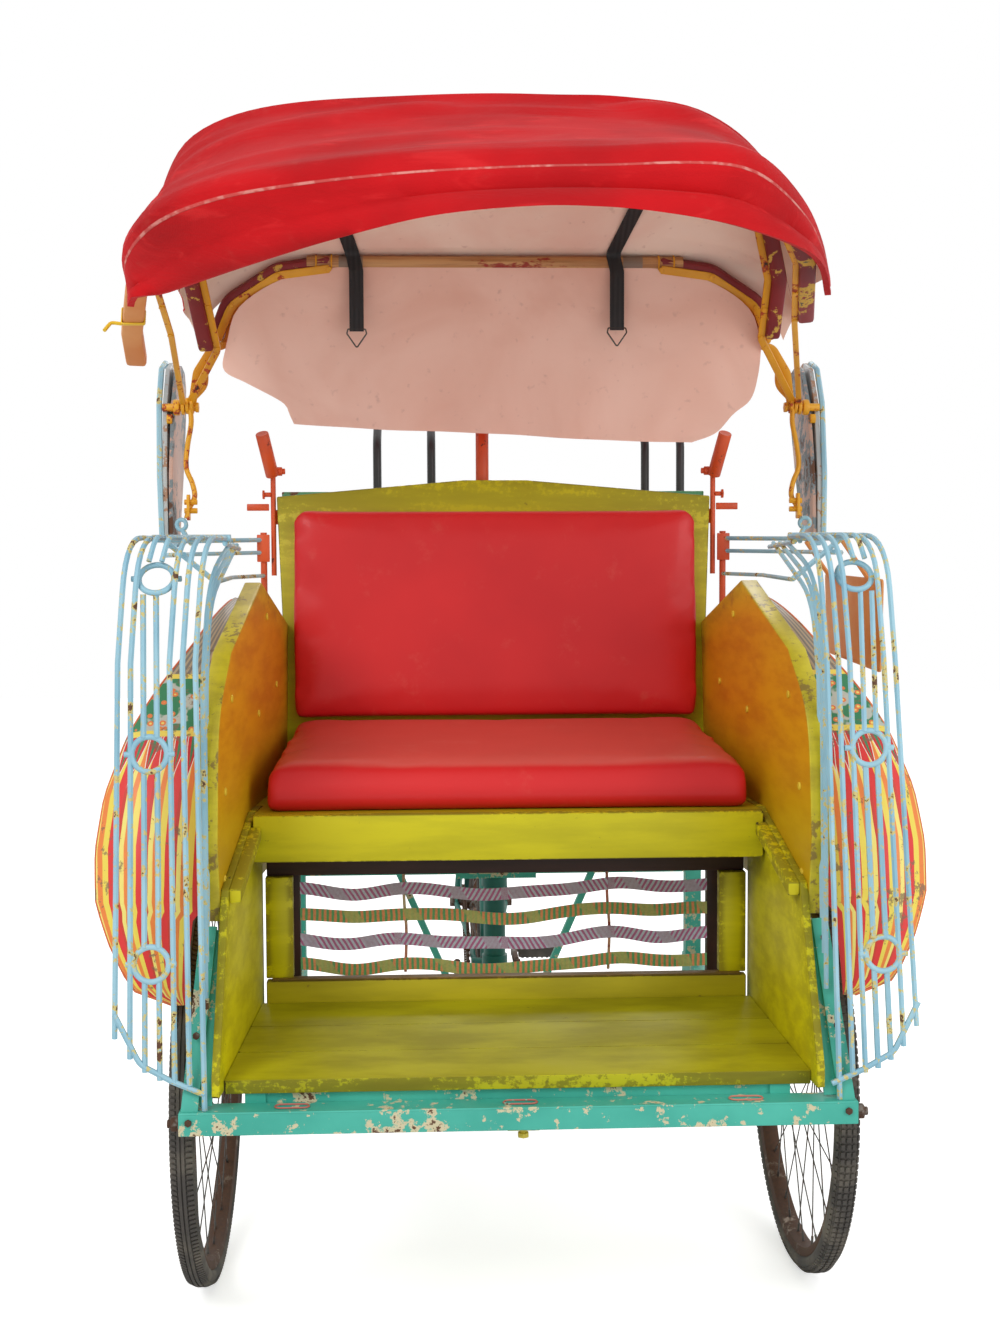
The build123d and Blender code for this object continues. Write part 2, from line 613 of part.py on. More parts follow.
# The middle of each bow's wood in its own plane, from the left end to the right: x and distance
# from the pivots. The middle and front bows are racked to the left.
REAR_BOW = [(-522, 135), (-492, 205), (-400, 264), (-270, 279), (270, 279), (400, 264), (492, 205),
            (522, 135)]
MID_BOW = [(-532, 140), (-546, 330), (-512, 530), (-350, 604), (0, 622), (300, 602), (440, 505),
           (505, 300), (512, 170)]
FRONT_BOW = [(-614, 330), (-590, 490), (-490, 690), (-300, 764), (0, 800), (280, 816), (400, 750),
             (490, 540), (528, 350)]


def bend_in_plane(plane, route, width, depth, bend, rounded=True):
    """Adds a bar bent within a plane, with rounded ends."""
    with BuildSketch(plane, mode=Mode.PRIVATE) as shape:
        with BuildLine():
            FilletPolyline(*route, radius=bend)
        trace(line_width=width)
        if rounded:
            with Locations(route[0], route[-1]):
                RegularPolygon(width / 2, 8)
    extrude(shape.sketch, amount=depth / 2, both=True)


def beside(route, gap):
    """A route moved sideways in its plane, to the inside of a bow drawn from the left end."""
    runs = [Vector(*b) - Vector(*a) for a, b in zip(route, route[1:])]
    sides = [Vector(run.Y, -run.X).normalized() for run in runs]
    corners = [sides[0], *[(a + b) / (1 + a.dot(b)) for a, b in zip(sides, sides[1:])], sides[-1]]
    return [(x + side.X * gap, y + side.Y * gap) for (x, y), side in zip(route, corners)]


def irons(angle, bow, ends, eye_x, bend):
    """Adds the two flat irons of a bow: along the inside of its ends, then down to an eye."""
    plane = hood_plane(angle)
    inner = beside(bow, BOW_WIDTH / 2 + IRON_THICK / 2 - 0.5)
    for side, route in ((-1, inner[:ends[0]]), (1, inner[-ends[1]:][::-1])):
        bend_in_plane(plane, route, IRON_THICK, IRON_WIDTH, bend, rounded=False)
        foot = plane.from_local_coords(Vector(side * eye_x, PIVOT_BOLT + 2, 0))
        shoulder = plane.from_local_coords(Vector(route[0][0], route[0][1] + 2, 0))
        bar(foot, shoulder, IRON_THICK, IRON_WIDTH)
        disc(spot(side * eye_x, PIVOT_Y, PIVOT_Z), 15, IRON_THICK, PIVOT_BOLT + 0.4, sides=8)


# Bows: name, angle, route, how many of its points the left and right irons follow, x of the eyes,
# and the bends of the wood and of the iron
BOWS = [
    ("rear", REAR_ANGLE, REAR_BOW, (4, 4), 553.0, 50.0, 32.0),
    ("mid", MID_ANGLE, MID_BOW, (3, 3), 569.0, 60.0, 42.0),
    ("front", FRONT_ANGLE, FRONT_BOW, (3, 3), 585.0, 60.0, 42.0),
]
for bow_name, angle, route, ends, eye_x, bend, iron_bend in BOWS:
    with BuildPart() as bow:
        bend_in_plane(hood_plane(angle), route, BOW_WIDTH, BOW_DEPTH, bend)
        if bow_name == "rear":
            # The middle of the rear bow is a round pole
            pole_left, pole_right = (hood_plane(angle).from_local_coords(Vector(x, 279, 0)) for x in (-290, 290))
            disc_plane = Plane(origin=pole_left, z_dir=(1, 0, 0))
            with BuildSketch(disc_plane, mode=Mode.PRIVATE) as around:
                Rectangle(60, 60)
            extrude(around.sketch, amount=(pole_right - pole_left).length, mode=Mode.SUBTRACT)
            with BuildSketch(disc_plane, mode=Mode.PRIVATE) as pole:
                RegularPolygon(POLE_DIAMETER / 2, 12)
            extrude(pole.sketch, amount=(pole_right - pole_left).length)
        irons(angle, route, ends, eye_x, iron_bend)
    bow.part.label = bow_name + "_bow"
    export_step(bow.part, "parts/" + bow_name + "_bow.step")

# Roof cloth: each panel is fixed to the bow in front and passes over the one behind
CLOTH = 6.0
# The cloth's outlines, from left to right, as x and distance from the pivots: over the rear bow,
# over the middle bow (below and above the join), over the front bow, and at the front hem
REAR_EDGE = [(-572, 176), (-524, 250), (-430, 294), (-250, 306), (0, 308), (250, 306), (430, 294),
             (524, 250), (566, 176)]
MID_EDGE = [(-582, 330), (-562, 470), (-490, 582), (-340, 632), (0, 652), (290, 632), (420, 576),
            (500, 452), (552, 270)]
FRONT_EDGE = [(-625, 420), (-596, 560), (-500, 712), (-300, 790), (0, 826), (250, 842), (370, 806),
              (470, 680), (540, 470)]
HEM_EDGE = [(-622, 470), (-588, 540), (-480, 640), (-300, 740), (0, 826), (250, 828), (370, 782),
            (460, 700), (528, 520)]
HEM_DROP = 6.0


def cloth_ring(angle, outline, clear):
    """The points of a cloth's two faces over one bow."""
    plane = hood_plane(angle)
    faces = [outline, beside(outline, -CLOTH)] if clear == 0 else [
        beside(outline, -clear), beside(outline, -clear - CLOTH)]
    return [[plane.from_local_coords(Vector(x, r, 0)) for x, r in face] for face in faces]


def cloth_panel(rings):
    """A closed panel through rings of (inner points, outer points), of flat triangles."""
    faces = []

    def quad(a, b, c, d):
        faces.extend([Face(Wire.make_polygon([a, b, c])), Face(Wire.make_polygon([a, c, d]))])

    for side in (0, 1):
        for back, front in zip(rings, rings[1:]):
            for step in range(len(back[side]) - 1):
                quad(back[side][step], back[side][step + 1], front[side][step + 1], front[side][step])
    for inner, outer in (rings[0], rings[-1]):
        for step in range(len(inner) - 1):
            quad(inner[step], inner[step + 1], outer[step + 1], outer[step])
    for back, front in zip(rings, rings[1:]):
        for end in (0, -1):
            quad(back[0][end], back[1][end], front[1][end], front[0][end])
    return Solid(Shell(faces))


with BuildPart() as roof_rear:
    add(cloth_panel([
        cloth_ring(REAR_ANGLE - 2, REAR_EDGE, 0),
        cloth_ring((REAR_ANGLE + MID_ANGLE) / 2, [
            (0.5 * (a[0] + b[0]), 0.5 * (a[1] + b[1]) + 4) for a, b in zip(REAR_EDGE, MID_EDGE)], 0),
        cloth_ring(MID_ANGLE - 2, MID_EDGE, 0),
        cloth_ring(MID_ANGLE + 0.5, MID_EDGE, 0)]))
roof_rear.part.label = "roof_rear"
export_step(roof_rear.part, "parts/roof_rear.step")
with BuildPart() as roof_front:
    add(cloth_panel([
        cloth_ring(MID_ANGLE, MID_EDGE, 14),
        cloth_ring((MID_ANGLE + FRONT_ANGLE) / 2, [
            (0.5 * (a[0] + b[0]), 0.5 * (a[1] + b[1]) + 8) for a, b in zip(MID_EDGE, FRONT_EDGE)], 0),
        cloth_ring(FRONT_ANGLE - 0.5, FRONT_EDGE, 0),
        cloth_ring(FRONT_ANGLE + 1.5, FRONT_EDGE, 0),
        cloth_ring(FRONT_ANGLE + HEM_DROP, HEM_EDGE, 0)]))
roof_front.part.label = "roof_front"
export_step(roof_front.part, "parts/roof_front.step")

# Back flap, hung from the rear bow
with BuildPart() as back_flap:
    hang = Vector(0, 60, -280)
    flap_plane = Plane(origin=spot(0, 300, 1730), x_dir=(1, 0, 0), z_dir=Vector(1, 0, 0).cross(-hang))
    plate(flap_plane, [
        (-497, -128), (-466, -74), (-383, -22), (-270, -2), (270, -2), (383, -22), (466, -74), (497, -128),
        (494, -180), (477, -240), (440, -264), (415, -300), (373, -318), (10, -304), (-376, -288),
        (-385, -262), (-394, -239), (-458, -207), (-503, -183),
    ], CLOTH)
back_flap.part.label = "back_flap"
export_step(back_flap.part, "parts/back_flap.step")

# Two straps that hang from the rear bow, each ending in a wire triangle
with BuildPart() as hood_straps:
    for strap_x in (-255, 222):
        bar(spot(strap_x, 284, 1745), spot(strap_x, 284, 1625), 28, 3)
        plate(front_plane(282), [
            (strap_x - 18, 1622), (strap_x + 18, 1622), (strap_x, 1594)], -3)
hood_straps.part.label = "hood_straps"
export_step(hood_straps.part, "parts/hood_straps.step")

# Rear frame: the steering head, its tubes, and the fork that holds the rear wheel
CRANK_Y = 930.0
CRANK_Z = 290.0
CRANK_LENGTH = 170.0
SEAT_Y = 1080.0
SEAT_Z = 850.0
STAY_X = 30.8
STAY_SIZE = 13.0
with BuildPart() as rear_frame:
    with BuildSketch(level_plane(HEAD_LOW_Z)) as head:
        with Locations((0, PIN_Y)):
            Circle(HEAD_RADIUS)
    extrude(amount=HEAD_TOP_Z - HEAD_LOW_Z)
    rod([spot(0, PIN_Y + 10, 372), spot(0, CRANK_Y, CRANK_Z)], 40, 0, 8)
    rod([spot(0, PIN_Y + 10, 540), spot(0, SEAT_Y - 8, SEAT_Z - 30)], 34, 0, 8)
    rod([spot(0, CRANK_Y, CRANK_Z), spot(0, SEAT_Y, SEAT_Z)], 32, 0, 8)
    rod([spot(0, SEAT_Y, SEAT_Z), spot(0, SEAT_Y + 58, 1066)], 26, 0, 8)
    disc(spot(0, CRANK_Y, CRANK_Z), 22, 70, sides=12)
    for side in (-1, 1):
        drop = spot(side * 62, REAR_AXLE_Y, AXLE_Z)
        rod([
            spot(side * 18, CRANK_Y + 14, CRANK_Z), spot(side * STAY_X, CRANK_Y + 80, CRANK_Z + 8),
            spot(side * STAY_X, CRANK_Y + 140, CRANK_Z + 18), drop], STAY_SIZE, 20)
        rod([spot(side * 14, SEAT_Y - 4, SEAT_Z - 10), spot(side * 34, SEAT_Y + 60, 740), drop], 15, 30)
        disc(drop, 20, 8, sides=10)
    with BuildSketch(level_plane(HEAD_LOW_Z), mode=Mode.PRIVATE) as bore:
        with Locations((0, PIN_Y)):
            Circle(PIN_RADIUS + 0.5)
    extrude(bore.sketch, amount=400, mode=Mode.SUBTRACT)
    with BuildSketch(Plane(origin=spot(-60, CRANK_Y, CRANK_Z), z_dir=(1, 0, 0)), mode=Mode.PRIVATE) as shell:
        Circle(10.5)
    extrude(shell.sketch, amount=120, mode=Mode.SUBTRACT)
    with BuildSketch(side_plane(-90), mode=Mode.PRIVATE) as axle_hole:
        with Locations((REAR_AXLE_Y, AXLE_Z)):
            Circle(AXLE_RADIUS + 0.3)
    extrude(axle_hole.sketch, amount=180, mode=Mode.SUBTRACT)
    for side in (-1, 1):
        with BuildSketch(side_plane(side * 66), mode=Mode.PRIVATE) as nut_seat:
            with Locations((REAR_AXLE_Y, AXLE_Z)):
                Circle(13)
        extrude(nut_seat.sketch, amount=side * 30, mode=Mode.SUBTRACT)
rear_frame.part.label = "rear_frame"
export_step(rear_frame.part, "parts/rear_frame.step")

with BuildPart() as rear_axle:
    disc(spot(0, REAR_AXLE_Y, AXLE_Z), AXLE_RADIUS, 2 * 76, sides=12)
    for side in (-1, 1):
        disc(spot(side * 72, REAR_AXLE_Y, AXLE_Z), 12.4, 12, sides=6)
rear_axle.part.label = "rear_axle"
export_step(rear_axle.part, "parts/rear_axle.step")

with BuildPart() as rear_fender:
    centre = spot(0, REAR_AXLE_Y, AXLE_Z)
    with BuildSketch(radial_plane(centre, -12)) as gutter:
        with BuildLine():
            Polyline((-32, 357), (-22, 370), (22, 370), (32, 357), (30, 357), (21, 368), (-21, 368),
                     (-30, 357), close=True)
        make_face()
    revolve(axis=Axis(centre, (1, 0, 0)), revolution_arc=158)
    for side in (-1, 1):
        edge = radial_plane(centre, 12).from_local_coords(Vector(side * 30, 358, 0))
        bar(edge, spot(side * 54, REAR_AXLE_Y + 18, AXLE_Z + 4), 5, 5)
rear_fender.part.label = "rear_fender"
export_step(rear_fender.part, "parts/rear_fender.step")

with BuildPart() as saddle:
    with BuildSketch(level_plane(1070)) as seat_pan:
        with BuildLine():
            Polyline((-16, 985), (16, 985), (30, 1110), (95, 1200), (90, 1270), (-90, 1270), (-95, 1200),
                     (-30, 1110), close=True)
        make_face()
    extrude(amount=46)
saddle.part.label = "saddle"
export_step(saddle.part, "parts/saddle.step")

# Crankset on the left, with its ring, and the pedals
RING_RADIUS = 92.0
RING_TEETH = 30
with BuildPart() as crankset:
    disc(spot(0, CRANK_Y, CRANK_Z), 9, 150)
    disc(spot(SPROCKET_X, CRANK_Y, CRANK_Z), RING_RADIUS, 3, sides=RING_TEETH)
    # Five windows between the ring's arms
    with BuildSketch(side_plane(SPROCKET_X - 4), mode=Mode.PRIVATE) as windows:
        with Locations((CRANK_Y, CRANK_Z)):
            with PolarLocations(52, 5):
                RegularPolygon(21, 6)
    extrude(windows.sketch, amount=8, mode=Mode.SUBTRACT)
    for side in (-1, 1):
        hub_point = spot(side * 68, CRANK_Y, CRANK_Z)
        bar(hub_point, hub_point + Vector(0, side * CRANK_LENGTH, 0), 12, 22, (1, 0, 0))
        disc(hub_point, 18, 14, sides=10)
        disc(hub_point + Vector(0, side * CRANK_LENGTH, 0), 14, 12, sides=10)
        disc(hub_point + Vector(side * 46, side * CRANK_LENGTH, 0), 6, 84)
crankset.part.label = "crankset"
export_step(crankset.part, "parts/crankset.step")

for pedal_name, side in [("pedal_left", -1), ("pedal_right", 1)]:
    with BuildPart() as pedal:
        centre = spot(side * 122, CRANK_Y + side * CRANK_LENGTH, CRANK_Z)
        disc(centre, 11, 66, 6.5, sides=8)
        for edge in (-1, 1):
            bar(centre + Vector(-44, edge * 30, 0), centre + Vector(44, edge * 30, 0), 20, 24, (0, 1, 0))
        for end in (-36, 36):
            bar(centre + Vector(end, -32, 0), centre + Vector(end, -9, 0), 8, 14)
            bar(centre + Vector(end, 9, 0), centre + Vector(end, 32, 0), 8, 14)
    pedal.part.label = pedal_name
    export_step(pedal.part, "parts/" + pedal_name + ".step")

# Chain: one loop round the ring and the sprocket
with BuildPart() as chain:
    span = REAR_AXLE_Y - CRANK_Y
    climb = AXLE_Z - CRANK_Z
    distance = sqrt(span ** 2 + climb ** 2)
    base = atan2(climb, span)
    spread = asin((RING_RADIUS - SPROCKET_RADIUS) / distance)
    for radius_step, chain_mode in [(9.0, Mode.ADD), (1.0, Mode.SUBTRACT)]:
        ring_r = RING_RADIUS + radius_step
        small_r = SPROCKET_RADIUS + radius_step
        top_angle = base + pi / 2 + spread * -1
        low_angle = base - pi / 2 + spread
        with BuildSketch(side_plane(SPROCKET_X - 4), mode=Mode.PRIVATE) as loop:
            with BuildLine():
                ring_top = (CRANK_Y + ring_r * cos(top_angle), CRANK_Z + ring_r * sin(top_angle))
                ring_low = (CRANK_Y + ring_r * cos(low_angle), CRANK_Z + ring_r * sin(low_angle))
                ring_front = (CRANK_Y - ring_r * cos(base), CRANK_Z - ring_r * sin(base))
                small_top = (REAR_AXLE_Y + small_r * cos(top_angle), AXLE_Z + small_r * sin(top_angle))
                small_low = (REAR_AXLE_Y + small_r * cos(low_angle), AXLE_Z + small_r * sin(low_angle))
                small_back = (REAR_AXLE_Y + small_r * cos(base), AXLE_Z + small_r * sin(base))
                ThreePointArc(ring_top, ring_front, ring_low)
                Line(ring_low, small_low)
                ThreePointArc(small_low, small_back, small_top)
                Line(small_top, ring_top)
            make_face()
        extrude(loop.sketch, amount=8, mode=chain_mode)
chain.part.label = "chain"
export_step(chain.part, "parts/chain.step")
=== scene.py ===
from math import asin, atan2, ceil, cos, pi, radians, sin, sqrt, tan

import bpy
from mathutils import Euler, Matrix, Vector, noise


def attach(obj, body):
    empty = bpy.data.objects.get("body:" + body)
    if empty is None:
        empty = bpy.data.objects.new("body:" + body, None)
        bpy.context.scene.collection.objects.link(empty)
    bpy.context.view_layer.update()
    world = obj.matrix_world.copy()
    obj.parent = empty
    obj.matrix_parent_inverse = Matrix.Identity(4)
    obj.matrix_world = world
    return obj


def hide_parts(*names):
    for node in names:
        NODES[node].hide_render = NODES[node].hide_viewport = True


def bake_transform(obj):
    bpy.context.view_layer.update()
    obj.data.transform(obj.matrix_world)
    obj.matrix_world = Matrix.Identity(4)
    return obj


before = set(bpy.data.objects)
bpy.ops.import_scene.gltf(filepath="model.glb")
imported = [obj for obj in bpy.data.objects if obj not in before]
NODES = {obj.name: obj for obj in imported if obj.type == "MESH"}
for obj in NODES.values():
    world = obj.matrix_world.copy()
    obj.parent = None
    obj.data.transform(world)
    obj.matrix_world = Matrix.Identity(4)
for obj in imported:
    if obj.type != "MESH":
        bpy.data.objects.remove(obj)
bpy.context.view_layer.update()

# The looks of a cycle rickshaw, in metres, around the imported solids.
# Distances along the vehicle are measured back from the front axle, as in the part's source,
# and AXLE_Y moves them into the frame.
AXLE_Y = -0.648
SIDES = (("left", -1), ("right", 1))


def spot(x, y, z):
    """A point, its y measured back from the front axle."""
    return Vector((x, AXLE_Y + y, z))


def sided(side, places):
    """The points of places that are given for the right side, on either side."""
    return [spot(side * x, y, z) for x, y, z in places]


def led(side, *nodes):
    """The nodes that a pair of pieces stands for, which its left one names."""
    return nodes if side < 0 else ()


# Small tools for modelling


def deselect():
    """Leaves edit mode with nothing selected."""
    if bpy.context.object and bpy.context.object.mode != "OBJECT":
        bpy.ops.object.mode_set(mode="OBJECT")
    bpy.ops.object.select_all(action="DESELECT")


def only(piece):
    """Selects one object and makes it active."""
    deselect()
    piece.select_set(True)
    bpy.context.view_layer.objects.active = piece
    return piece


def settle(piece, name=None):
    """Moves a piece's place, turn and scale into its mesh and names it."""
    only(piece)
    bpy.ops.object.transform_apply(location=True, rotation=True, scale=True)
    if name:
        piece.name = name
        piece.data.name = name
    return piece


def modify(piece, kind, **settings):
    """Adds a modifier with its settings and applies it."""
    modifier = piece.modifiers.new(kind.title(), kind)
    for key, value in settings.items():
        setattr(modifier, key, value)
    only(piece)
    bpy.ops.object.modifier_apply(modifier=modifier.name)
    return piece


def smooth(piece, angle=40.0):
    """Shades a piece smooth, with edges sharper than the angle left sharp."""
    only(piece)
    bpy.ops.object.shade_smooth_by_angle(angle=radians(angle))
    return piece


def join(pieces, name):
    """Joins pieces into the first and names it."""
    deselect()
    for piece in pieces:
        piece.select_set(True)
    bpy.context.view_layer.objects.active = pieces[0]
    if len(pieces) > 1:
        bpy.ops.object.join()
    pieces[0].name = name
    pieces[0].data.name = name
    return pieces[0]


def wear(piece, body, finish, replaces=()):
    """Gives a finished piece its material, its body and the nodes that it stands for."""
    finishes = list(finish) if isinstance(finish, (list, tuple)) else [finish]
    if len(piece.data.materials) != len(finishes):
        piece.data.materials.clear()
        for material in finishes:
            piece.data.materials.append(material)
    for place, material in enumerate(finishes):
        piece.data.materials[place] = material
    if body:
        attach(piece, body)
    if replaces:
        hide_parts(*replaces)
    return piece


def mirrored_x(piece, name):
    """A copy of a piece on the other side of the middle."""
    only(piece)
    bpy.ops.object.duplicate()
    twin = bpy.context.object
    twin.scale.x = -1
    settle(twin, name)
    bpy.ops.object.mode_set(mode="EDIT")
    bpy.ops.mesh.select_all(action="SELECT")
    bpy.ops.mesh.normals_make_consistent(inside=False)
    bpy.ops.object.mode_set(mode="OBJECT")
    return twin


def rounded(route, bend):
    """A route's points with an arc of one radius at each corner, as a list of points."""
    route = [Vector(p) for p in route]
    if bend <= 0:
        return route
    points = [route[0]]
    for before, corner, after in zip(route, route[1:], route[2:]):
        back, ahead = (before - corner), (after - corner)
        back_dir, ahead_dir = back.normalized(), ahead.normalized()
        half = back_dir.angle(ahead_dir) / 2
        if half > pi / 2 - 0.01:
            continue
        reach = min(bend / max(sin(half) / cos(half), 1e-6), 0.49 * back.length, 0.49 * ahead.length)
        start, end = corner + back_dir * reach, corner + ahead_dir * reach
        count = max(3, ceil((pi - 2 * half) / 0.22))
        for step in range(count + 1):
            t = step / count
            points.append(start.lerp(corner, t).lerp(corner.lerp(end, t), t))
    points.append(route[-1])
    return points


def rod(name, route, diameter, bend=0.0, sides=10, flat=None):
    """A rod along a bent route, round unless flat is given; flat's value is not used."""
    deselect()
    bpy.ops.curve.primitive_bezier_curve_add()
    curve = bpy.context.object
    curve.data.splines.clear()
    line = curve.data.splines.new("POLY")
    points = rounded(route, bend)
    line.points.add(len(points) - 1)
    for place, point in zip(line.points, points):
        place.co = (*point, 1)
    curve.data.dimensions = "3D"
    curve.data.twist_mode = "MINIMUM"
    if flat is None:
        curve.data.bevel_depth = diameter / 2
        curve.data.bevel_resolution = max(0, sides // 4 - 1)
    curve.data.use_fill_caps = True
    only(curve)
    bpy.ops.object.convert(target="MESH")
    piece = bpy.context.object
    settle(piece, name)
    return smooth(piece, 50)


# Materials: sockets with arithmetic, and one method that adds nodes

class Value:
    """One socket of a material, with arithmetic that adds Math nodes."""

    def __init__(self, finish, socket):
        self.finish, self.socket = finish, socket

    def maths(self, operation, *terms, clamp=False):
        """A Math node's result, of this value where no terms are given."""
        settings = {"operation": operation, "use_clamp": clamp}
        return self.finish.node("ShaderNodeMath", settings, dict(enumerate(terms or (self,))))

    def __add__(self, other):
        return self.maths("ADD", self, other)

    def __radd__(self, other):
        return self.maths("ADD", other, self)

    def __sub__(self, other):
        return self.maths("SUBTRACT", self, other)

    def __rsub__(self, other):
        return self.maths("SUBTRACT", other, self)

    def __mul__(self, other):
        return self.maths("MULTIPLY", self, other)

    def __rmul__(self, other):
        return self.maths("MULTIPLY", other, self)

    def __truediv__(self, other):
        return self.maths("DIVIDE", self, other)

    def __rtruediv__(self, other):
        return self.maths("DIVIDE", other, self)

    def __gt__(self, other):
        return self.maths("GREATER_THAN", self, other)

    def __lt__(self, other):
        return self.maths("LESS_THAN", self, other)

    def __abs__(self):
        return self.maths("ABSOLUTE", self)

    def most(self, other):
        """The larger of two."""
        return self.maths("MAXIMUM", self, other)

    def least(self, other):
        """The smaller of two."""
        return self.maths("MINIMUM", self, other)

    def ramp(self, low, high, start=0.0, end=1.0):
        """Runs smoothly from start to end as this value goes from low to high."""
        places = {"Value": self, "From Min": low, "From Max": high, "To Min": start, "To Max": end}
        return self.finish.node("ShaderNodeMapRange", {"interpolation_type": "SMOOTHSTEP"}, places)


class Finish:
    """A procedural material on one Principled shader."""

    def __init__(self, name):
        self.material = bpy.data.materials.new(name)
        self.material.use_nodes = True
        self.tree = self.material.node_tree
        self.tree.nodes.clear()
        self.shader = self.tree.nodes.new("ShaderNodeBsdfPrincipled")
        self.output = self.tree.nodes.new("ShaderNodeOutputMaterial")
        self.tree.links.new(self.shader.outputs[0], self.output.inputs["Surface"])

    def node(self, kind, settings=None, sockets=None, output=0):
        """Adds a node, sets it up, fills its sockets, and returns one output or, for None, all."""
        made = self.tree.nodes.new(kind)
        for key, value in (settings or {}).items():
            if key == "stops":
                while len(made.color_ramp.elements) < len(value):
                    made.color_ramp.elements.new(0.5)
                for element, (position, color) in zip(made.color_ramp.elements, value):
                    element.position = position
                    element.color = (*color, 1)
            else:
                setattr(made, key, value)
        for key, value in (sockets or {}).items():
            self.fill(made.inputs[key], value)
        if output is None:
            return [Value(self, socket) for socket in made.outputs]
        return Value(self, made.outputs[output])

    def fill(self, socket, value):
        """Links a value into a socket, or sets it."""
        if isinstance(value, Value):
            self.tree.links.new(value.socket, socket)
        elif hasattr(value, "__len__") and len(value) == 3 and socket.type == "RGBA":
            socket.default_value = (*value, 1)
        else:
            socket.default_value = value

    def place(self):
        """The surface's own place in the frame."""
        return self.node("ShaderNodeTexCoord", output=None)[3]

    def axes(self, vector=None):
        """The x, y and z of a vector."""
        return self.node("ShaderNodeSeparateXYZ", None, {0: vector or self.place()}, None)

    def facing(self):
        """The x, y and z of the surface's normal."""
        return self.axes(self.node("ShaderNodeNewGeometry", output=None)[1])

    def laid(self):
        """The places across and along the sheet that the surface was made as."""
        return self.axes(self.node("ShaderNodeTexCoord", output=None)[2])[:2]

    def stretched(self, scale, vector=None, location=(0, 0, 0), rotation=(0, 0, 0)):
        """The place, scaled apart along each axis."""
        sockets = {"Vector": vector or self.place(), "Scale": scale, "Location": location, "Rotation": rotation}
        return self.node("ShaderNodeMapping", None, sockets)

    def noise(self, scale, detail=3.0, vector=None, rough=0.5, distortion=0.0):
        """Cloudy noise from 0 to 1."""
        sockets = {"Vector": vector or self.place(), "Scale": scale, "Detail": detail, "Roughness": rough,
                   "Distortion": distortion}
        return self.node("ShaderNodeTexNoise", None, sockets)

    def cells(self, scale, vector=None, feature="F1", output=0):
        """Distance within random cells."""
        sockets = {"Vector": vector or self.place(), "Scale": scale}
        return self.node("ShaderNodeTexVoronoi", {"feature": feature}, sockets, output)

    def mix(self, share, first, second, blend="MIX"):
        """A colour between two."""
        made = self.tree.nodes.new("ShaderNodeMix")
        made.data_type = "RGBA"
        made.blend_type = blend
        for key, value in ((0, share), (6, first), (7, second)):
            self.fill(made.inputs[key], value)
        return Value(self, made.outputs[2])

    def bump(self, height, strength=0.3, distance=0.001):
        """Sets the surface's fine relief."""
        sockets = {"Height": height, "Strength": strength, "Distance": distance}
        self.set(Normal=self.node("ShaderNodeBump", None, sockets))

    def set(self, **sockets):
        """Fills the shader's sockets, their names written with underscores."""
        for key, value in sockets.items():
            self.fill(self.shader.inputs[key.replace("_", " ")], value)
        return self.material


def chipped(name, color, shade, under, chips=0.35, scale=45.0, rough=0.42, rust=(0.16, 0.07, 0.03)):
    """Painted metal with cloudy wear, chips down to an older coat, and rust in the deepest of them."""
    finish = Finish(name)
    cloud = finish.noise(7.0, 4.0)
    grain = finish.noise(scale, 6.0, rough=0.65)
    patch = finish.noise(scale * 0.22, 2.0)
    worn = (grain * 0.7 + patch * 0.5).ramp(0.86 - chips * 0.45, 0.89 - chips * 0.45)
    deep = (grain * 0.6 + patch * 0.6).ramp(0.93 - chips * 0.42, 0.95 - chips * 0.42)
    base = finish.mix(cloud.ramp(0.3, 0.7), color, shade)
    base = finish.mix(worn, base, under)
    base = finish.mix(deep, base, rust)
    finish.bump(1 - worn * 0.6 - deep * 0.4 + grain * 0.1, 0.35, 0.0008)
    return finish.set(Base_Color=base, Roughness=rough + worn * 0.25 + cloud * 0.08, Metallic=0.0)


# Planes to draw on, and shapes drawn, turned and swept

PIVOT_BACK = 0.42
PIVOT = spot(0, PIVOT_BACK, 1.5)
AXLE_Z = 0.35
TRACK_X = 0.503
REAR_Y = 1.38
TOE = radians(3.5)


def plane_at(origin, across, up):
    """A placement whose local x and y run along two directions."""
    across, up = Vector(across).normalized(), Vector(up).normalized()
    turn = Matrix((across, up, across.cross(up))).transposed().to_4x4()
    return Matrix.Translation(origin) @ turn


def hood_plane(angle):
    """A plane through the hood's pivots: local x is X, local y the distance from them."""
    return plane_at(PIVOT, (1, 0, 0), (0, cos(radians(angle)), sin(radians(angle))))


def toed_plane(offset):
    """The right side board's plane, moved outwards: local x runs back, local y up."""
    out = Vector((cos(TOE), sin(TOE), 0))
    return plane_at(spot(0.405, 0, 0) + out * offset, (-sin(TOE), cos(TOE), 0), (0, 0, 1))


def rect(x0, y0, x1, y1):
    """A rectangle's corners, from its lowest to its highest."""
    return [(x0, y0), (x1, y0), (x1, y1), (x0, y1)]


def front_plane(x, y, z=0.0):
    """A plane facing forwards through a place: local x is X, local y is Z."""
    return plane_at(spot(x, y, z), (1, 0, 0), (0, 0, 1))


def side_plane(x, y=0.0, z=0.0):
    """A plane facing sideways through a place: local x is Y, local y is Z."""
    return plane_at(spot(x, y, z), (0, 1, 0), (0, 0, 1))


def level_plane(x, y, z):
    """A level plane through a place: local x is X, local y is Y."""
    return plane_at(spot(x, y, z), (1, 0, 0), (0, 1, 0))


def merged(piece):
    """Merges doubled points and turns the faces outwards."""
    only(piece)
    bpy.ops.object.mode_set(mode="EDIT")
    bpy.ops.mesh.select_all(action="SELECT")
    bpy.ops.mesh.remove_doubles(threshold=0.00002)
    bpy.ops.mesh.normals_make_consistent(inside=False)
    bpy.ops.object.mode_set(mode="OBJECT")
    return piece


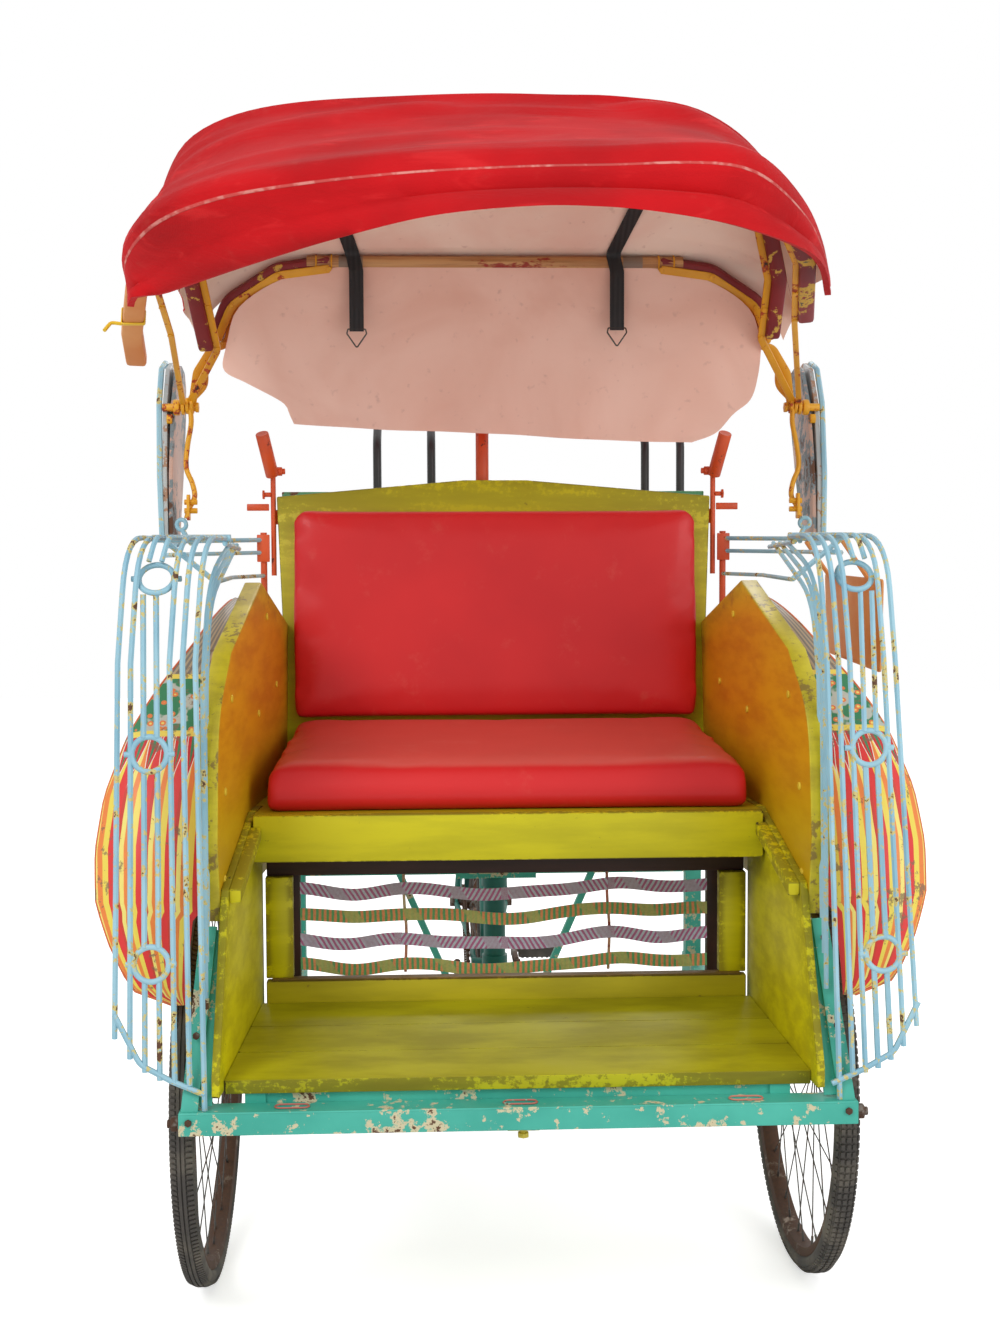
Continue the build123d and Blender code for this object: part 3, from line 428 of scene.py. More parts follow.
def edged(piece, width, segments=2, angle=35):
    """Rounds a piece's sharp edges."""
    modify(piece, "BEVEL", width=width, segments=segments, limit_method="ANGLE", angle_limit=radians(angle))
    return smooth(piece)


def line_on(place, points, closed, depth=0.0, fill="NONE"):
    """A line drawn on a plane as a curve, made a mesh."""
    deselect()
    bpy.ops.curve.primitive_bezier_curve_add()
    curve = bpy.context.object
    curve.data.splines.clear()
    curve.data.dimensions = "2D"
    line = curve.data.splines.new("POLY")
    line.points.add(len(points) - 1)
    for corner, point in zip(line.points, points):
        corner.co = (point[0], point[1], 0, 1)
    line.use_cyclic_u = closed
    curve.data.fill_mode = fill
    curve.data.extrude = depth / 2
    curve.matrix_world = place
    only(curve)
    bpy.ops.object.convert(target="MESH")
    return bpy.context.object


def board(name, place, outline, thick, edge=0.002, bend=0.0):
    """A flat plate with a closed outline, centred on its plane, its edges eased."""
    if bend:
        ring = rounded([(*p, 0) for p in [*outline, outline[0], outline[1]]], bend)[1:-1]
        outline = [(p.x, p.y) for p in ring]
    piece = merged(settle(line_on(place, outline, True, thick, "BOTH"), name))
    return edged(piece, edge)


def ribbon(name, place, route, thick, depth, bend=0.0, edge=0.001):
    """A strap or bar bent within a plane, as thick in the plane as given and as deep across it."""
    flat = [(p.x, p.y) for p in rounded([(*p, 0) for p in route], bend)]
    piece = settle(line_on(place, flat, False, depth), name)
    modify(piece, "SOLIDIFY", thickness=thick, offset=0)
    return edged(merged(piece), edge)


def turned(name, centre, profile, steps=72, closed=True):
    """A shape turned about a line along X, from (x offset, radius) points."""
    piece = line_on(Matrix(), profile, closed)
    modify(piece, "SCREW", axis="X", steps=steps, render_steps=steps, use_merge_vertices=True)
    piece.location = centre
    return smooth(merged(settle(piece, name)), 50)


def disc(name, centre, radius, length, axis=(1, 0, 0), sides=24, edge=0.0008):
    """A bolt head, boss or washer with eased edges."""
    deselect()
    bpy.ops.mesh.primitive_cylinder_add(vertices=sides, radius=radius, depth=length)
    piece = bpy.context.object
    piece.rotation_mode = "QUATERNION"
    piece.rotation_quaternion = Vector((0, 0, 1)).rotation_difference(Vector(axis))
    piece.location = centre
    return edged(settle(piece, name), edge)


def bored(piece, centre, radius, sides):
    """Cuts a round hole along X through a piece."""
    cutter = disc("cutter", centre, radius, 0.02, sides=sides, edge=0.0002)
    modify(piece, "BOOLEAN", operation="DIFFERENCE", object=cutter)
    bpy.data.objects.remove(cutter)
    return piece


def hoop(name, centre, radius, thick, axis=(1, 0, 0), steps=32):
    """A ring of round rod."""
    deselect()
    bpy.ops.mesh.primitive_torus_add(
        major_radius=radius, minor_radius=thick / 2, major_segments=steps, minor_segments=10)
    piece = bpy.context.object
    piece.rotation_mode = "QUATERNION"
    piece.rotation_quaternion = Vector((0, 0, 1)).rotation_difference(Vector(axis))
    piece.location = centre
    return smooth(settle(piece, name), 80)


def surface(name, columns, rows, shape):
    """A grid with every point placed by a function of its shares across and along."""
    deselect()
    bpy.ops.mesh.primitive_grid_add(x_subdivisions=columns, y_subdivisions=rows, size=1)
    piece = bpy.context.object
    for vertex in piece.data.vertices:
        vertex.co = shape(vertex.co.x + 0.5, vertex.co.y + 0.5)
    return settle(piece, name)


def around(piece, centre, axis, count):
    """Repeats a piece in equal turns about a line."""
    only(piece)
    bpy.ops.object.mode_set(mode="EDIT")
    bpy.ops.mesh.select_all(action="SELECT")
    bpy.ops.mesh.spin(steps=count - 1, dupli=True, angle=2 * pi * (count - 1) / count, center=centre, axis=axis)
    bpy.ops.object.mode_set(mode="OBJECT")
    return piece


def smooth_line(points, count):
    """Evenly spaced points on a smooth line through a few."""
    points = [Vector(p) for p in points]
    ends = [points[0] * 2 - points[1], *points, points[-1] * 2 - points[-2]]
    fine = []
    for before, start, end, after in zip(ends, ends[1:], ends[2:], ends[3:]):
        for step in range(12):
            t = step / 12
            fine.append(0.5 * (
                start * 2 + (end - before) * t + (before * 2 - start * 5 + end * 4 - after) * t * t
                + (start * 3 - before - end * 3 + after) * t * t * t))
    fine.append(points[-1])
    lengths = [0.0]
    for a, b in zip(fine, fine[1:]):
        lengths.append(lengths[-1] + (b - a).length)
    spaced, place = [], 0
    for step in range(count + 1):
        goal = lengths[-1] * step / count
        while place < len(fine) - 2 and lengths[place + 1] < goal:
            place += 1
        span = max(lengths[place + 1] - lengths[place], 1e-9)
        spaced.append(fine[place].lerp(fine[place + 1], (goal - lengths[place]) / span))
    return spaced


def inflated(piece, voxel, pressure, cap):
    """Swells a closed form as cloth, no point moving further than the cap, and smooths it."""
    modify(piece, "REMESH", mode="VOXEL", voxel_size=voxel)
    before = [vertex.co.copy() for vertex in piece.data.vertices]
    cloth = piece.modifiers.new("Cloth", "CLOTH")
    cloth.settings.use_pressure = True
    cloth.settings.uniform_pressure_force = pressure
    cloth.settings.effector_weights.gravity = 0
    for number in range(1, 21):
        bpy.context.scene.frame_set(number)
    only(piece)
    bpy.ops.object.modifier_apply(modifier=cloth.name)
    for vertex, start in zip(piece.data.vertices, before):
        move = vertex.co - start
        if move.length > cap:
            vertex.co = start + move * (cap / move.length)
    bpy.context.scene.frame_set(1)
    modify(piece, "SMOOTH", factor=0.5, iterations=4)
    modify(piece, "SUBSURF", levels=1, render_levels=1)
    return smooth(piece, 80)


# Finishes


def tint(red, green, blue):
    """A colour from its screen values, 0 to 255."""
    return tuple(((v / 255 + 0.055) / 1.055) ** 2.4 if v > 10 else v / 255 / 12.92 for v in (red, green, blue))


RUST = tint(92, 58, 36)
DARK_RUST = tint(60, 44, 34)


def edge_share(finish, low, high, point=None):
    """The distance from the surface to the nearest edge of a box."""
    spans = []
    for value, start, end in zip(finish.axes(point), low, high):
        spans.append((value - start).least(end - value).most(0.0))
    small = spans[0].least(spans[1])
    large = spans[0].most(spans[1])
    return small.most(large.least(spans[2]))


def woven_red():
    """The hood's outside: bright red sheeting with a pale piped seam and soft creases, their raised parts painted
    lighter red as painted highlight.
    """
    finish = Finish("hood_red")
    cloud = finish.noise(5.0, 4.0)
    creases = finish.noise(11.0, 5.0, finish.stretched((0.6, 2.0, 2.0)), 0.6, 0.8)
    u, v = finish.laid()
    weave = (u * 2600.0).maths("SINE") * (v * 1500.0).maths("SINE")
    base = finish.mix(cloud.ramp(0.3, 0.75), tint(206, 16, 24), tint(178, 10, 18))
    # Where the crease relief rises, the red is painted lighter: a painted highlight on the crease ridges.
    base = finish.mix(creases.ramp(0.54, 0.72, 0.0, 0.55), base, tint(224, 42, 44))
    pale_share = finish.noise(23.0, 5.0).ramp(0.6, 0.8, 0.0, 0.25)
    base = finish.mix(pale_share, base, tint(196, 78, 70))
    seam = abs(v - 0.815).ramp(0.0055, 0.003)
    pale = (finish.noise(26.0, 3.0, rough=0.7)).ramp(0.46, 0.60, 0.25, 0.85)
    base = finish.mix(seam * pale, base, tint(226, 150, 140))
    finish.bump(creases * 0.9 + weave * 0.03 + seam * 0.4, 0.55, 0.006)
    return finish.set(Base_Color=base, Roughness=0.82, Sheen_Weight=0.06, Specular_IOR_Level=0.18)


def lining(name, color, shade, seam=0.0):
    """The hood's inside: pale coated cloth, faintly stained."""
    finish = Finish(name)
    cloud = finish.noise(4.0, 4.0, distortion=0.6)
    fine = finish.noise(60.0, 4.0)
    creases = finish.noise(9.0, 4.0, finish.stretched((0.8, 1.6, 2.4)), 0.6, 1.0)
    base = finish.mix(cloud.ramp(0.35, 0.7), color, shade)
    base = finish.mix(fine.ramp(0.62, 0.78, 0.0, 0.35), base, tint(186, 140, 130))
    if seam:
        line = abs(finish.laid()[1] - seam + (finish.noise(9.0, 2.0) - 0.5) * 0.03).ramp(0.008, 0.005)
        base = finish.mix(line, base, tint(150, 34, 36))
    finish.bump(creases + fine * 0.1, 0.3, 0.003)
    return finish.set(Base_Color=base, Roughness=0.75, Sheen_Weight=0.05, Specular_IOR_Level=0.25)


def bare_pole():
    """Tan cane with dark red paint left in patches, grain along X."""
    finish = Finish("tan_pole")
    grain = finish.noise(40.0, 6.0, finish.stretched((0.12, 3.0, 3.0)), 0.6)
    patch = finish.noise(9.0, 5.0, finish.stretched((0.7, 2.0, 2.0)), 0.7)
    base = finish.mix(grain.ramp(0.35, 0.65), tint(206, 158, 104), tint(164, 112, 66))
    base = finish.mix(patch.ramp(0.57, 0.62), base, tint(150, 46, 34))
    x = finish.axes()[0]
    tape = (abs(x + 0.265) < 0.022) + (abs(x - 0.252) < 0.018)
    base = finish.mix(tape * 0.85, base, tint(122, 110, 100))
    finish.bump(grain, 0.4, 0.001)
    return finish.set(Base_Color=base, Roughness=0.55)


def vinyl():
    """Glossy red vinyl over foam, its up-facing faces painted paler as a painted highlight."""
    finish = Finish("cushion_vinyl")
    cloud = finish.noise(3.0, 3.0)
    pores = finish.cells(520.0)
    creases = finish.noise(6.0, 5.0, finish.stretched((0.7, 1.6, 1.6)), 0.55, 0.5)
    base = finish.mix(cloud.ramp(0.3, 0.75), tint(214, 34, 36), tint(196, 24, 30))
    # Up-facing faces get a paler pink. This is a painted highlight of the light on top, added to random dust patches.
    lit_top = finish.facing()[2].ramp(0.80, 0.98, 0.0, 0.34)
    pale_share = finish.noise(14.0, 6.0, rough=0.7).ramp(0.56, 0.76, 0.0, 0.16) + lit_top
    base = finish.mix(pale_share, base, tint(222, 130, 110))
    finish.bump(creases * 0.9 + pores * 0.05, 0.22, 0.003)
    return finish.set(Base_Color=base, Roughness=0.36 + cloud * 0.12, Coat_Weight=0.06, Specular_IOR_Level=0.35)


def rubber():
    """Dusty dark tyre rubber."""
    finish = Finish("tyre_rubber")
    cloud = finish.noise(18.0, 5.0)
    fine = finish.noise(160.0, 3.0)
    base = finish.mix(cloud.ramp(0.4, 0.7), tint(70, 66, 62), tint(104, 97, 87))
    finish.bump(fine, 0.25, 0.0006)
    return finish.set(Base_Color=base, Roughness=0.82)


def rusty(name, steel, share, rough=0.5):
    """Old steel, rusted in clouds."""
    finish = Finish(name)
    cloud = finish.noise(26.0, 6.0, rough=0.65)
    fine = finish.noise(190.0, 3.0)
    brown = finish.mix(fine, RUST, DARK_RUST)
    covered = cloud.ramp(0.75 - share * 0.5, 0.85 - share * 0.5)
    base = finish.mix(covered, steel, brown)
    finish.bump(fine * 0.6 + covered * 0.5, 0.35, 0.0006)
    return finish.set(Base_Color=base, Roughness=rough + covered * 0.3, Metallic=0.75 - covered * 0.7)


def banded(name, first, second, third, lean=0.0):
    """A woven band with slanting stripes along X."""
    finish = Finish(name)
    x, _, z = finish.axes()
    turn = (x * 17.0).maths("SINE").ramp(-0.1, 0.1, -1.0, 1.0)
    slant = (x * 690.0 + z * turn * lean + finish.noise(30.0, 2.0) * 3.0).maths("SINE")
    broad = (x * 61.0 + z * 40.0).maths("SINE") + finish.noise(40.0, 2.0) * 0.8 - 0.5
    fine = finish.noise(300.0, 2.0)
    base = finish.mix(slant.ramp(-0.15, 0.15), first, second)
    base = finish.mix(broad.ramp(0.55, 0.7, 0.0, 0.9), base, third)
    base = finish.mix(fine.ramp(0.4, 0.7, 0.0, 0.2), base, tuple(0.5 * c for c in first))
    finish.bump(slant * 0.4 + fine, 0.4, 0.0008)
    return finish.set(Base_Color=base, Roughness=0.7)


def fender_paint():
    """Stripes fanned out along the fender, a band of blossoms, and worn grey and tan above."""
    finish = Finish("fender_stripes")
    u, v = finish.laid()
    wobble = finish.noise(6.0, 3.0) * 0.05
    across = u + wobble - 0.025
    stripe = (across * 3.8).maths("FRACT")
    base = finish.node("ShaderNodeValToRGB", {}, {0: stripe})
    ramp = base.socket.node.color_ramp
    ramp.interpolation = "CONSTANT"
    stops = [(0.0, tint(226, 52, 50)), (0.3, tint(240, 216, 84)), (0.52, tint(238, 132, 58)),
             (0.72, tint(244, 226, 120)), (0.88, tint(206, 60, 44))]
    ramp.elements.remove(ramp.elements[1])
    ramp.elements[0].color = (*stops[0][1], 1)
    for position, color in stops[1:]:
        ramp.elements.new(position).color = (*color, 1)
    upper = finish.mix((across * 9.0).maths("FRACT").ramp(0.45, 0.5), tint(178, 160, 130), tint(122, 118, 110))
    base = finish.mix(v.ramp(0.60, 0.605), base, upper)
    inside = (v > 0.47) * (v < 0.60)
    petals = finish.cells(62.0)
    ground = finish.mix(finish.noise(34.0, 2.0).ramp(0.44, 0.50), tint(186, 190, 178), tint(46, 128, 84))
    flowers = finish.mix(petals.ramp(0.34, 0.29), ground, tint(228, 122, 62))
    flowers = finish.mix(petals.ramp(0.17, 0.13), flowers, tint(240, 214, 110))
    base = finish.mix(inside, base, flowers)
    rise = ((v - 0.365) / 0.095).ramp(0.0, 1.0)
    cup = abs((across * 7.0).maths("FRACT") - 0.5)
    row = (v > 0.365) * (v < 0.47)
    base = finish.mix(row * (cup < rise * 0.44), base, tint(240, 232, 220))
    base = finish.mix(row * (cup < rise * 0.44 - 0.06), base, tint(206, 40, 40))
    base = finish.mix(row * (cup < rise * 0.20 - 0.07), base, tint(58, 132, 88))
    line = (abs(v - 0.47) < 0.006) + (abs(v - 0.60) < 0.006)
    base = finish.mix(line, base, tint(238, 214, 90))
    grain = finish.noise(70.0, 6.0, rough=0.7)
    worn = (grain * 0.7 + finish.noise(11.0, 3.0) * 0.5).ramp(0.68, 0.72)
    base = finish.mix(worn * 0.8, base, tint(128, 104, 84))
    finish.bump(grain * 0.3 - worn, 0.3, 0.0008)
    return finish.set(Base_Color=base, Roughness=0.4 + worn * 0.3)


BLUE = chipped("blue_steel", tint(158, 200, 214), tint(130, 178, 198), tint(206, 190, 120), 0.47, 110.0, rust=RUST)
AMBER = chipped("amber_steel", tint(232, 168, 26), tint(212, 146, 18), tint(176, 70, 30), 0.4, 90.0, rust=DARK_RUST)
TEAL = chipped("teal_steel", tint(76, 186, 166), tint(56, 164, 146), tint(206, 196, 160), 0.42, 64.0, rust=RUST)
ORANGE = chipped("orange_steel", tint(222, 88, 34), tint(198, 70, 26), tint(120, 52, 34), 0.3, 110.0, rust=DARK_RUST)
BLACK = chipped("black_steel", tint(58, 62, 64), tint(44, 48, 50), tint(96, 92, 86), 0.25, 80.0, rust=RUST)
GREEN = chipped("green_steel", tint(22, 112, 98), tint(14, 92, 82), tint(60, 70, 60), 0.3, 70.0, rust=DARK_RUST)
MAROON = chipped("maroon_wood", tint(138, 26, 32), tint(112, 20, 26), tint(206, 168, 72), 0.42, 38.0, 0.5,
                 tint(96, 92, 80))
TAN = chipped("tan_wood", tint(226, 160, 98), tint(216, 134, 66), tint(150, 60, 40), 0.2, 46.0, 0.6, tint(92, 66, 44))
WING_GREY = chipped("wing_grey", tint(182, 186, 184), tint(156, 164, 166), tint(170, 132, 106), 0.55, 34.0, rust=RUST)
WING_PINK = chipped("wing_pink", tint(196, 158, 140), tint(160, 130, 112), tint(120, 132, 136), 0.6, 38.0, rust=RUST)
RUSTY = rusty("rusty_steel", tint(120, 112, 104), 0.75)
RIM = rusty("rim_steel", tint(128, 112, 98), 0.85)
SPOKE = rusty("spoke_steel", tint(92, 88, 84), 0.45)
RUBBER = rubber()
VINYL = vinyl()
HOOD_RED = woven_red()
LINING = lining("hood_lining", tint(248, 224, 208), tint(238, 200, 184))
REAR_LINING = lining("rear_lining", tint(248, 224, 208), tint(238, 200, 184), 0.52)
FLAP = lining("flap_cloth", tint(246, 206, 190), tint(234, 186, 168))
POLE = bare_pole()
FENDER = fender_paint()
WEBBING = banded("black_webbing", tint(30, 30, 32), tint(42, 42, 44), tint(36, 36, 38))
BAND_COOL = banded("cool_band", tint(186, 104, 150), tint(198, 206, 222), tint(188, 176, 196), 420.0)
BAND_WARM = banded("warm_band", tint(104, 170, 108), tint(240, 150, 100), tint(186, 186, 110))
SADDLE = chipped("saddle_cover", tint(52, 40, 36), tint(40, 32, 30), tint(92, 72, 58), 0.3, 60.0, 0.5, tint(30, 24, 22))
TIE = chipped("yellow_tie", tint(240, 200, 40), tint(226, 184, 30), tint(236, 196, 60), 0.1, 60.0)
YELLOW, OLIVE, EDGE = tint(206, 196, 8), tint(188, 182, 20), tint(74, 66, 22)


# Hood cloths: the outlines of the cloth over each bow, from left to right, as x and distance from
# the pivots, then swept from bow to bow

REAR_ANGLE, MID_ANGLE, FRONT_ANGLE, HEM_ANGLE = 115.6, 135.7, 159.6, 165.6
REAR_LINE = [(-0.574, 0.185), (-0.530, 0.252), (-0.430, 0.297), (-0.250, 0.309), (0, 0.311), (0.250, 0.309),
             (0.430, 0.297), (0.530, 0.252), (0.568, 0.185)]
MID_LINE = [(-0.590, 0.335), (-0.585, 0.420), (-0.562, 0.495), (-0.518, 0.562), (-0.440, 0.606), (-0.331, 0.630),
            (-0.168, 0.642), (0, 0.648), (0.170, 0.642), (0.290, 0.632), (0.370, 0.597), (0.440, 0.536),
            (0.500, 0.450), (0.550, 0.285)]
FRONT_LINE = [(-0.618, 0.455), (-0.606, 0.565), (-0.548, 0.668), (-0.453, 0.736), (-0.327, 0.776),
              (-0.160, 0.806), (0.009, 0.822), (0.148, 0.829), (0.252, 0.838), (0.330, 0.830), (0.390, 0.784),
              (0.458, 0.686), (0.505, 0.585), (0.541, 0.480)]
HEM_LINE = [(-0.612, 0.478), (-0.598, 0.516), (-0.560, 0.526), (-0.507, 0.563), (-0.397, 0.642),
            (-0.270, 0.726), (-0.120, 0.806), (0.020, 0.838), (0.120, 0.838), (0.209, 0.822), (0.325, 0.781),
            (0.438, 0.708), (0.490, 0.640), (0.527, 0.530)]
HOOD_COLUMNS = 72

# Creases in the cloth: where each starts and ends across and along the sheet, its width and height
FRONT_CREASES = [
    (0.02, 0.42, 0.42, 0.10, 0.045, 0.010), (0.05, 0.66, 0.50, 0.40, 0.050, 0.008),
    (0.30, 0.72, 0.72, 0.60, 0.045, 0.007), (0.62, 0.02, 0.84, 0.42, 0.040, 0.016),
    (0.66, 0.10, 0.94, 0.36, 0.045, 0.010), (0.78, 0.05, 0.98, 0.22, 0.040, 0.012),
    (0.10, 0.90, 0.34, 0.97, 0.035, -0.008), (0.45, 0.98, 0.75, 0.90, 0.035, -0.006),
]
REAR_CREASES = [(0.1, 0.2, 0.4, 0.8, 0.05, 0.006), (0.5, 0.3, 0.8, 0.7, 0.05, -0.006)]


def crease_height(creases, u, v):
    """The height of all creases at a place on the sheet."""
    height = 0.0
    for u0, v0, u1, v1, width, top in creases:
        run = Vector((u1 - u0, v1 - v0))
        share = max(0.0, min(1.0, Vector((u - u0, v - v0)).dot(run) / run.length_squared))
        away = Vector((u - u0, v - v0)) - run * share
        height += top * 2.718 ** (-away.length_squared / (width * width)) * min(1.0, 4 * share + 0.3)
    return height


def hood_sheet(name, rings, creases, sag, rows):
    """A sheet from bow to bow, through rings of (angle, outline, share along the sheet)."""
    lines = []
    for angle, outline, share in rings:
        place = hood_plane(angle)
        flat = smooth_line([(x, r, 0) for x, r in outline], HOOD_COLUMNS)
        lines.append((share, [place @ point for point in flat]))

    def shape(u, v):
        """The cloth's place at shares across and along it."""
        column = min(HOOD_COLUMNS, max(0, round(u * HOOD_COLUMNS)))
        for (start, back), (end, front) in zip(lines, lines[1:]):
            if v <= end + 1e-6:
                t = (v - start) / (end - start)
                point = back[column].lerp(front[column], t)
                inward = (PIVOT + Vector((point.x * 0.6, 0, 0)) - point).normalized()
                ripple = noise.noise(Vector((u * 9.0, v * 5.0, 2.7))) * 0.005 * min(1.0, 6 * t, 6 * (1 - t) + 0.3)
                drop = sag * 4 * t * (1 - t) - crease_height(creases, u, v) - ripple
                if min(abs(v - share) for share, _ in lines[1:-1]) < 0.07:
                    drop = min(drop, -0.001)
                return point + inward * drop
        return lines[-1][1][column]

    return surface(name, HOOD_COLUMNS, rows, shape)


def lined(piece, thick, outward):
    """Gives a sheet its thickness, with its second material on the inside."""
    only(piece)
    middle = piece.data.polygons[len(piece.data.polygons) // 2]
    if middle.normal.dot(outward(middle.center)) < 0:
        bpy.ops.object.mode_set(mode="EDIT")
        bpy.ops.mesh.select_all(action="SELECT")
        bpy.ops.mesh.flip_normals()
        bpy.ops.object.mode_set(mode="OBJECT")
    piece.data.materials.clear()
    piece.data.materials.append(HOOD_RED)
    piece.data.materials.append(LINING)
    modify(piece, "SOLIDIFY", thickness=thick, offset=-1, material_offset=1, material_offset_rim=0)
    return smooth(piece, 80)


def from_pivots(point):
    """The way out from the line through the pivots."""
    return point - (PIVOT + Vector((point.x, 0, 0)))


front_cloth = hood_sheet("hood_cloth_front", [
    (MID_ANGLE - 1.2, [(x, r + 0.004) for x, r in MID_LINE], 0.0), (MID_ANGLE + 1.0, MID_LINE, 0.08),
    (FRONT_ANGLE - 1.0, FRONT_LINE, 0.74), (FRONT_ANGLE + 0.6, FRONT_LINE, 0.80),
    (HEM_ANGLE, HEM_LINE, 0.97), (HEM_ANGLE - 0.4, [(x * 0.985, r - 0.010) for x, r in HEM_LINE], 1.0),
], FRONT_CREASES, 0.012, 34)
lined(front_cloth, 0.0028, from_pivots)
rear_cloth = hood_sheet("hood_cloth_rear", [
    (REAR_ANGLE - 4.6, [(x * 0.965, r - 0.054) for x, r in REAR_LINE], 0.0),
    (REAR_ANGLE - 3.0, [(x * 0.985, r - 0.018) for x, r in REAR_LINE], 0.06),
    (REAR_ANGLE + 1.0, [(x, r - 0.002) for x, r in REAR_LINE], 0.14),
    (MID_ANGLE - 2.2, [(x, r - 0.004) for x, r in MID_LINE], 0.92),
    (MID_ANGLE + 0.6, [(x, r - 0.005) for x, r in MID_LINE], 1.0),
], REAR_CREASES, 0.010, 26)
lined(rear_cloth, 0.0028, from_pivots)


def across_bow(piece):
    """Moves a piece's place, turn and scale into its mesh."""
    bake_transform(piece)


# Bows: the bent wood, its irons and bolts

WOOD, WOOD_DEEP, IRON_DEEP = 0.028, 0.020, 0.0065
EYES = {"rear": 0.574, "mid": 0.582, "front": 0.590}
IRON_FACE = {"rear": 0.015, "mid": 0.013, "front": 0.0105}
REAR_BOW_END = [(0.522, 0.135), (0.492, 0.205), (0.400, 0.264), (0.300, 0.278)]
MID_BOW = [(-0.532, 0.140), (-0.546, 0.330), (-0.512, 0.530), (-0.350, 0.604), (0, 0.622), (0.300, 0.602),
           (0.440, 0.505), (0.505, 0.300), (0.512, 0.170)]
FRONT_BOW = [(-0.614, 0.330), (-0.590, 0.490), (-0.490, 0.690), (-0.300, 0.764), (0, 0.800), (0.280, 0.816),
             (0.400, 0.750), (0.490, 0.540), (0.528, 0.350)]


def beside(route, gap):
    """A route moved sideways in its plane, to the right of its run."""
    runs = [Vector(b) - Vector(a) for a, b in zip(route, route[1:])]
    sides = [Vector((run.y, -run.x)).normalized() for run in runs]
    corners = [sides[0], *[(a + b) / (1 + a.dot(b)) for a, b in zip(sides, sides[1:])], sides[-1]]
    return [(x + side.x * gap, y + side.y * gap) for (x, y), side in zip(route, corners)]


def iron(name, bow, angle, route, side, legs=()):
    """A flat iron along the inside of a bow's end, down to its eye, with screws and the eye's boss."""
    place, face = hood_plane(angle), IRON_FACE[bow]
    inner = beside(route, side * -(WOOD / 2 + face / 2 - 0.001))
    foot = (side * EYES[bow], 0.004)
    way = [foot, *[(side * x, r) for x, r in legs], (inner[0][0], inner[0][1] - 0.004), *inner[1:]]
    parts = [ribbon(name, place, way, face, IRON_DEEP, 0.022, 0.0012)]
    parts.append(disc("eye", place @ Vector((*foot, 0)), 0.0155, 0.0062, sides=28))
    normal = place.to_3x3() @ Vector((0, 0, 1))
    middles = [((a[0] + b[0]) / 2, (a[1] + b[1]) / 2) for a, b in zip(inner, inner[1:])]
    for x, r in [inner[0], *middles, inner[-1]]:
        parts.append(disc("screw", place @ Vector((x, r, 0)) + normal * 0.0035, 0.0058, 0.0032, normal, 12, 0.0012))
    label = "left" if side < 0 else "right"
    return wear(join(parts, f"{name}_{label}"), "hood_" + bow, AMBER)


def wood(name, body, angle, route, bend, finish, stand_in=()):
    """A bow's bent wood with rounded edges and ends."""
    piece = ribbon(name, hood_plane(angle), route, WOOD, WOOD_DEEP + 0.004, bend, 0.0065)
    return wear(piece, body, finish, stand_in)


wood("mid_bow_wood", "hood_mid", MID_ANGLE, MID_BOW, 0.060, MAROON, ["mid_bow"])
for side, route in ((-1, MID_BOW[:3]), (1, MID_BOW[:-4:-1])):
    iron("mid_iron", "mid", MID_ANGLE, route, side)
wood("front_bow_wood", "hood_front", FRONT_ANGLE, FRONT_BOW[1:], 0.060, MAROON, ["front_bow"])
end_block = ribbon("front_bow_end", hood_plane(FRONT_ANGLE), [
    (-0.647, 0.190), (-0.637, 0.300), (-0.606, 0.440), (-0.588, 0.500)], 0.036, 0.026, 0.05, 0.0065)
wear(end_block, "hood_front", TAN)

# The tie round the left end block, and its tail
front_place = hood_plane(FRONT_ANGLE)
TIE_R, TIE_HALF_X, TIE_HALF_DEEP = 0.352, 0.0195, 0.0145
tie_place = plane_at(front_place @ Vector((-0.6255, TIE_R, 0)), (1, 0, 0), front_place.to_3x3() @ Vector((0, 0, 1)))
tie_loop = rect(-TIE_HALF_X, -TIE_HALF_DEEP, TIE_HALF_X, TIE_HALF_DEEP)
tie = ribbon("end_tie", tie_place, [*tie_loop, tie_loop[0], (-0.016, -0.0148)], 0.0020, 0.0075, 0.004, 0.0005)
tail_from = front_place @ Vector((-0.6445, TIE_R, 0.014))
tail_line = [tail_from + Vector(step) for step in (
    (0, 0, 0), (-0.016, -0.004, 0.001), (-0.0205, -0.010, -0.004), (-0.0260, -0.020, -0.014))]
tail = rod("end_tie_tail", smooth_line(tail_line, 14), 0.0066, sides=8)
wear(join([tie, tail], "end_tie"), "hood_front", TIE)
for side, route in ((-1, [(-0.590, 0.290), *FRONT_BOW[1:3]]), (1, FRONT_BOW[:-4:-1])):
    iron("front_iron", "front", FRONT_ANGLE, route, side)

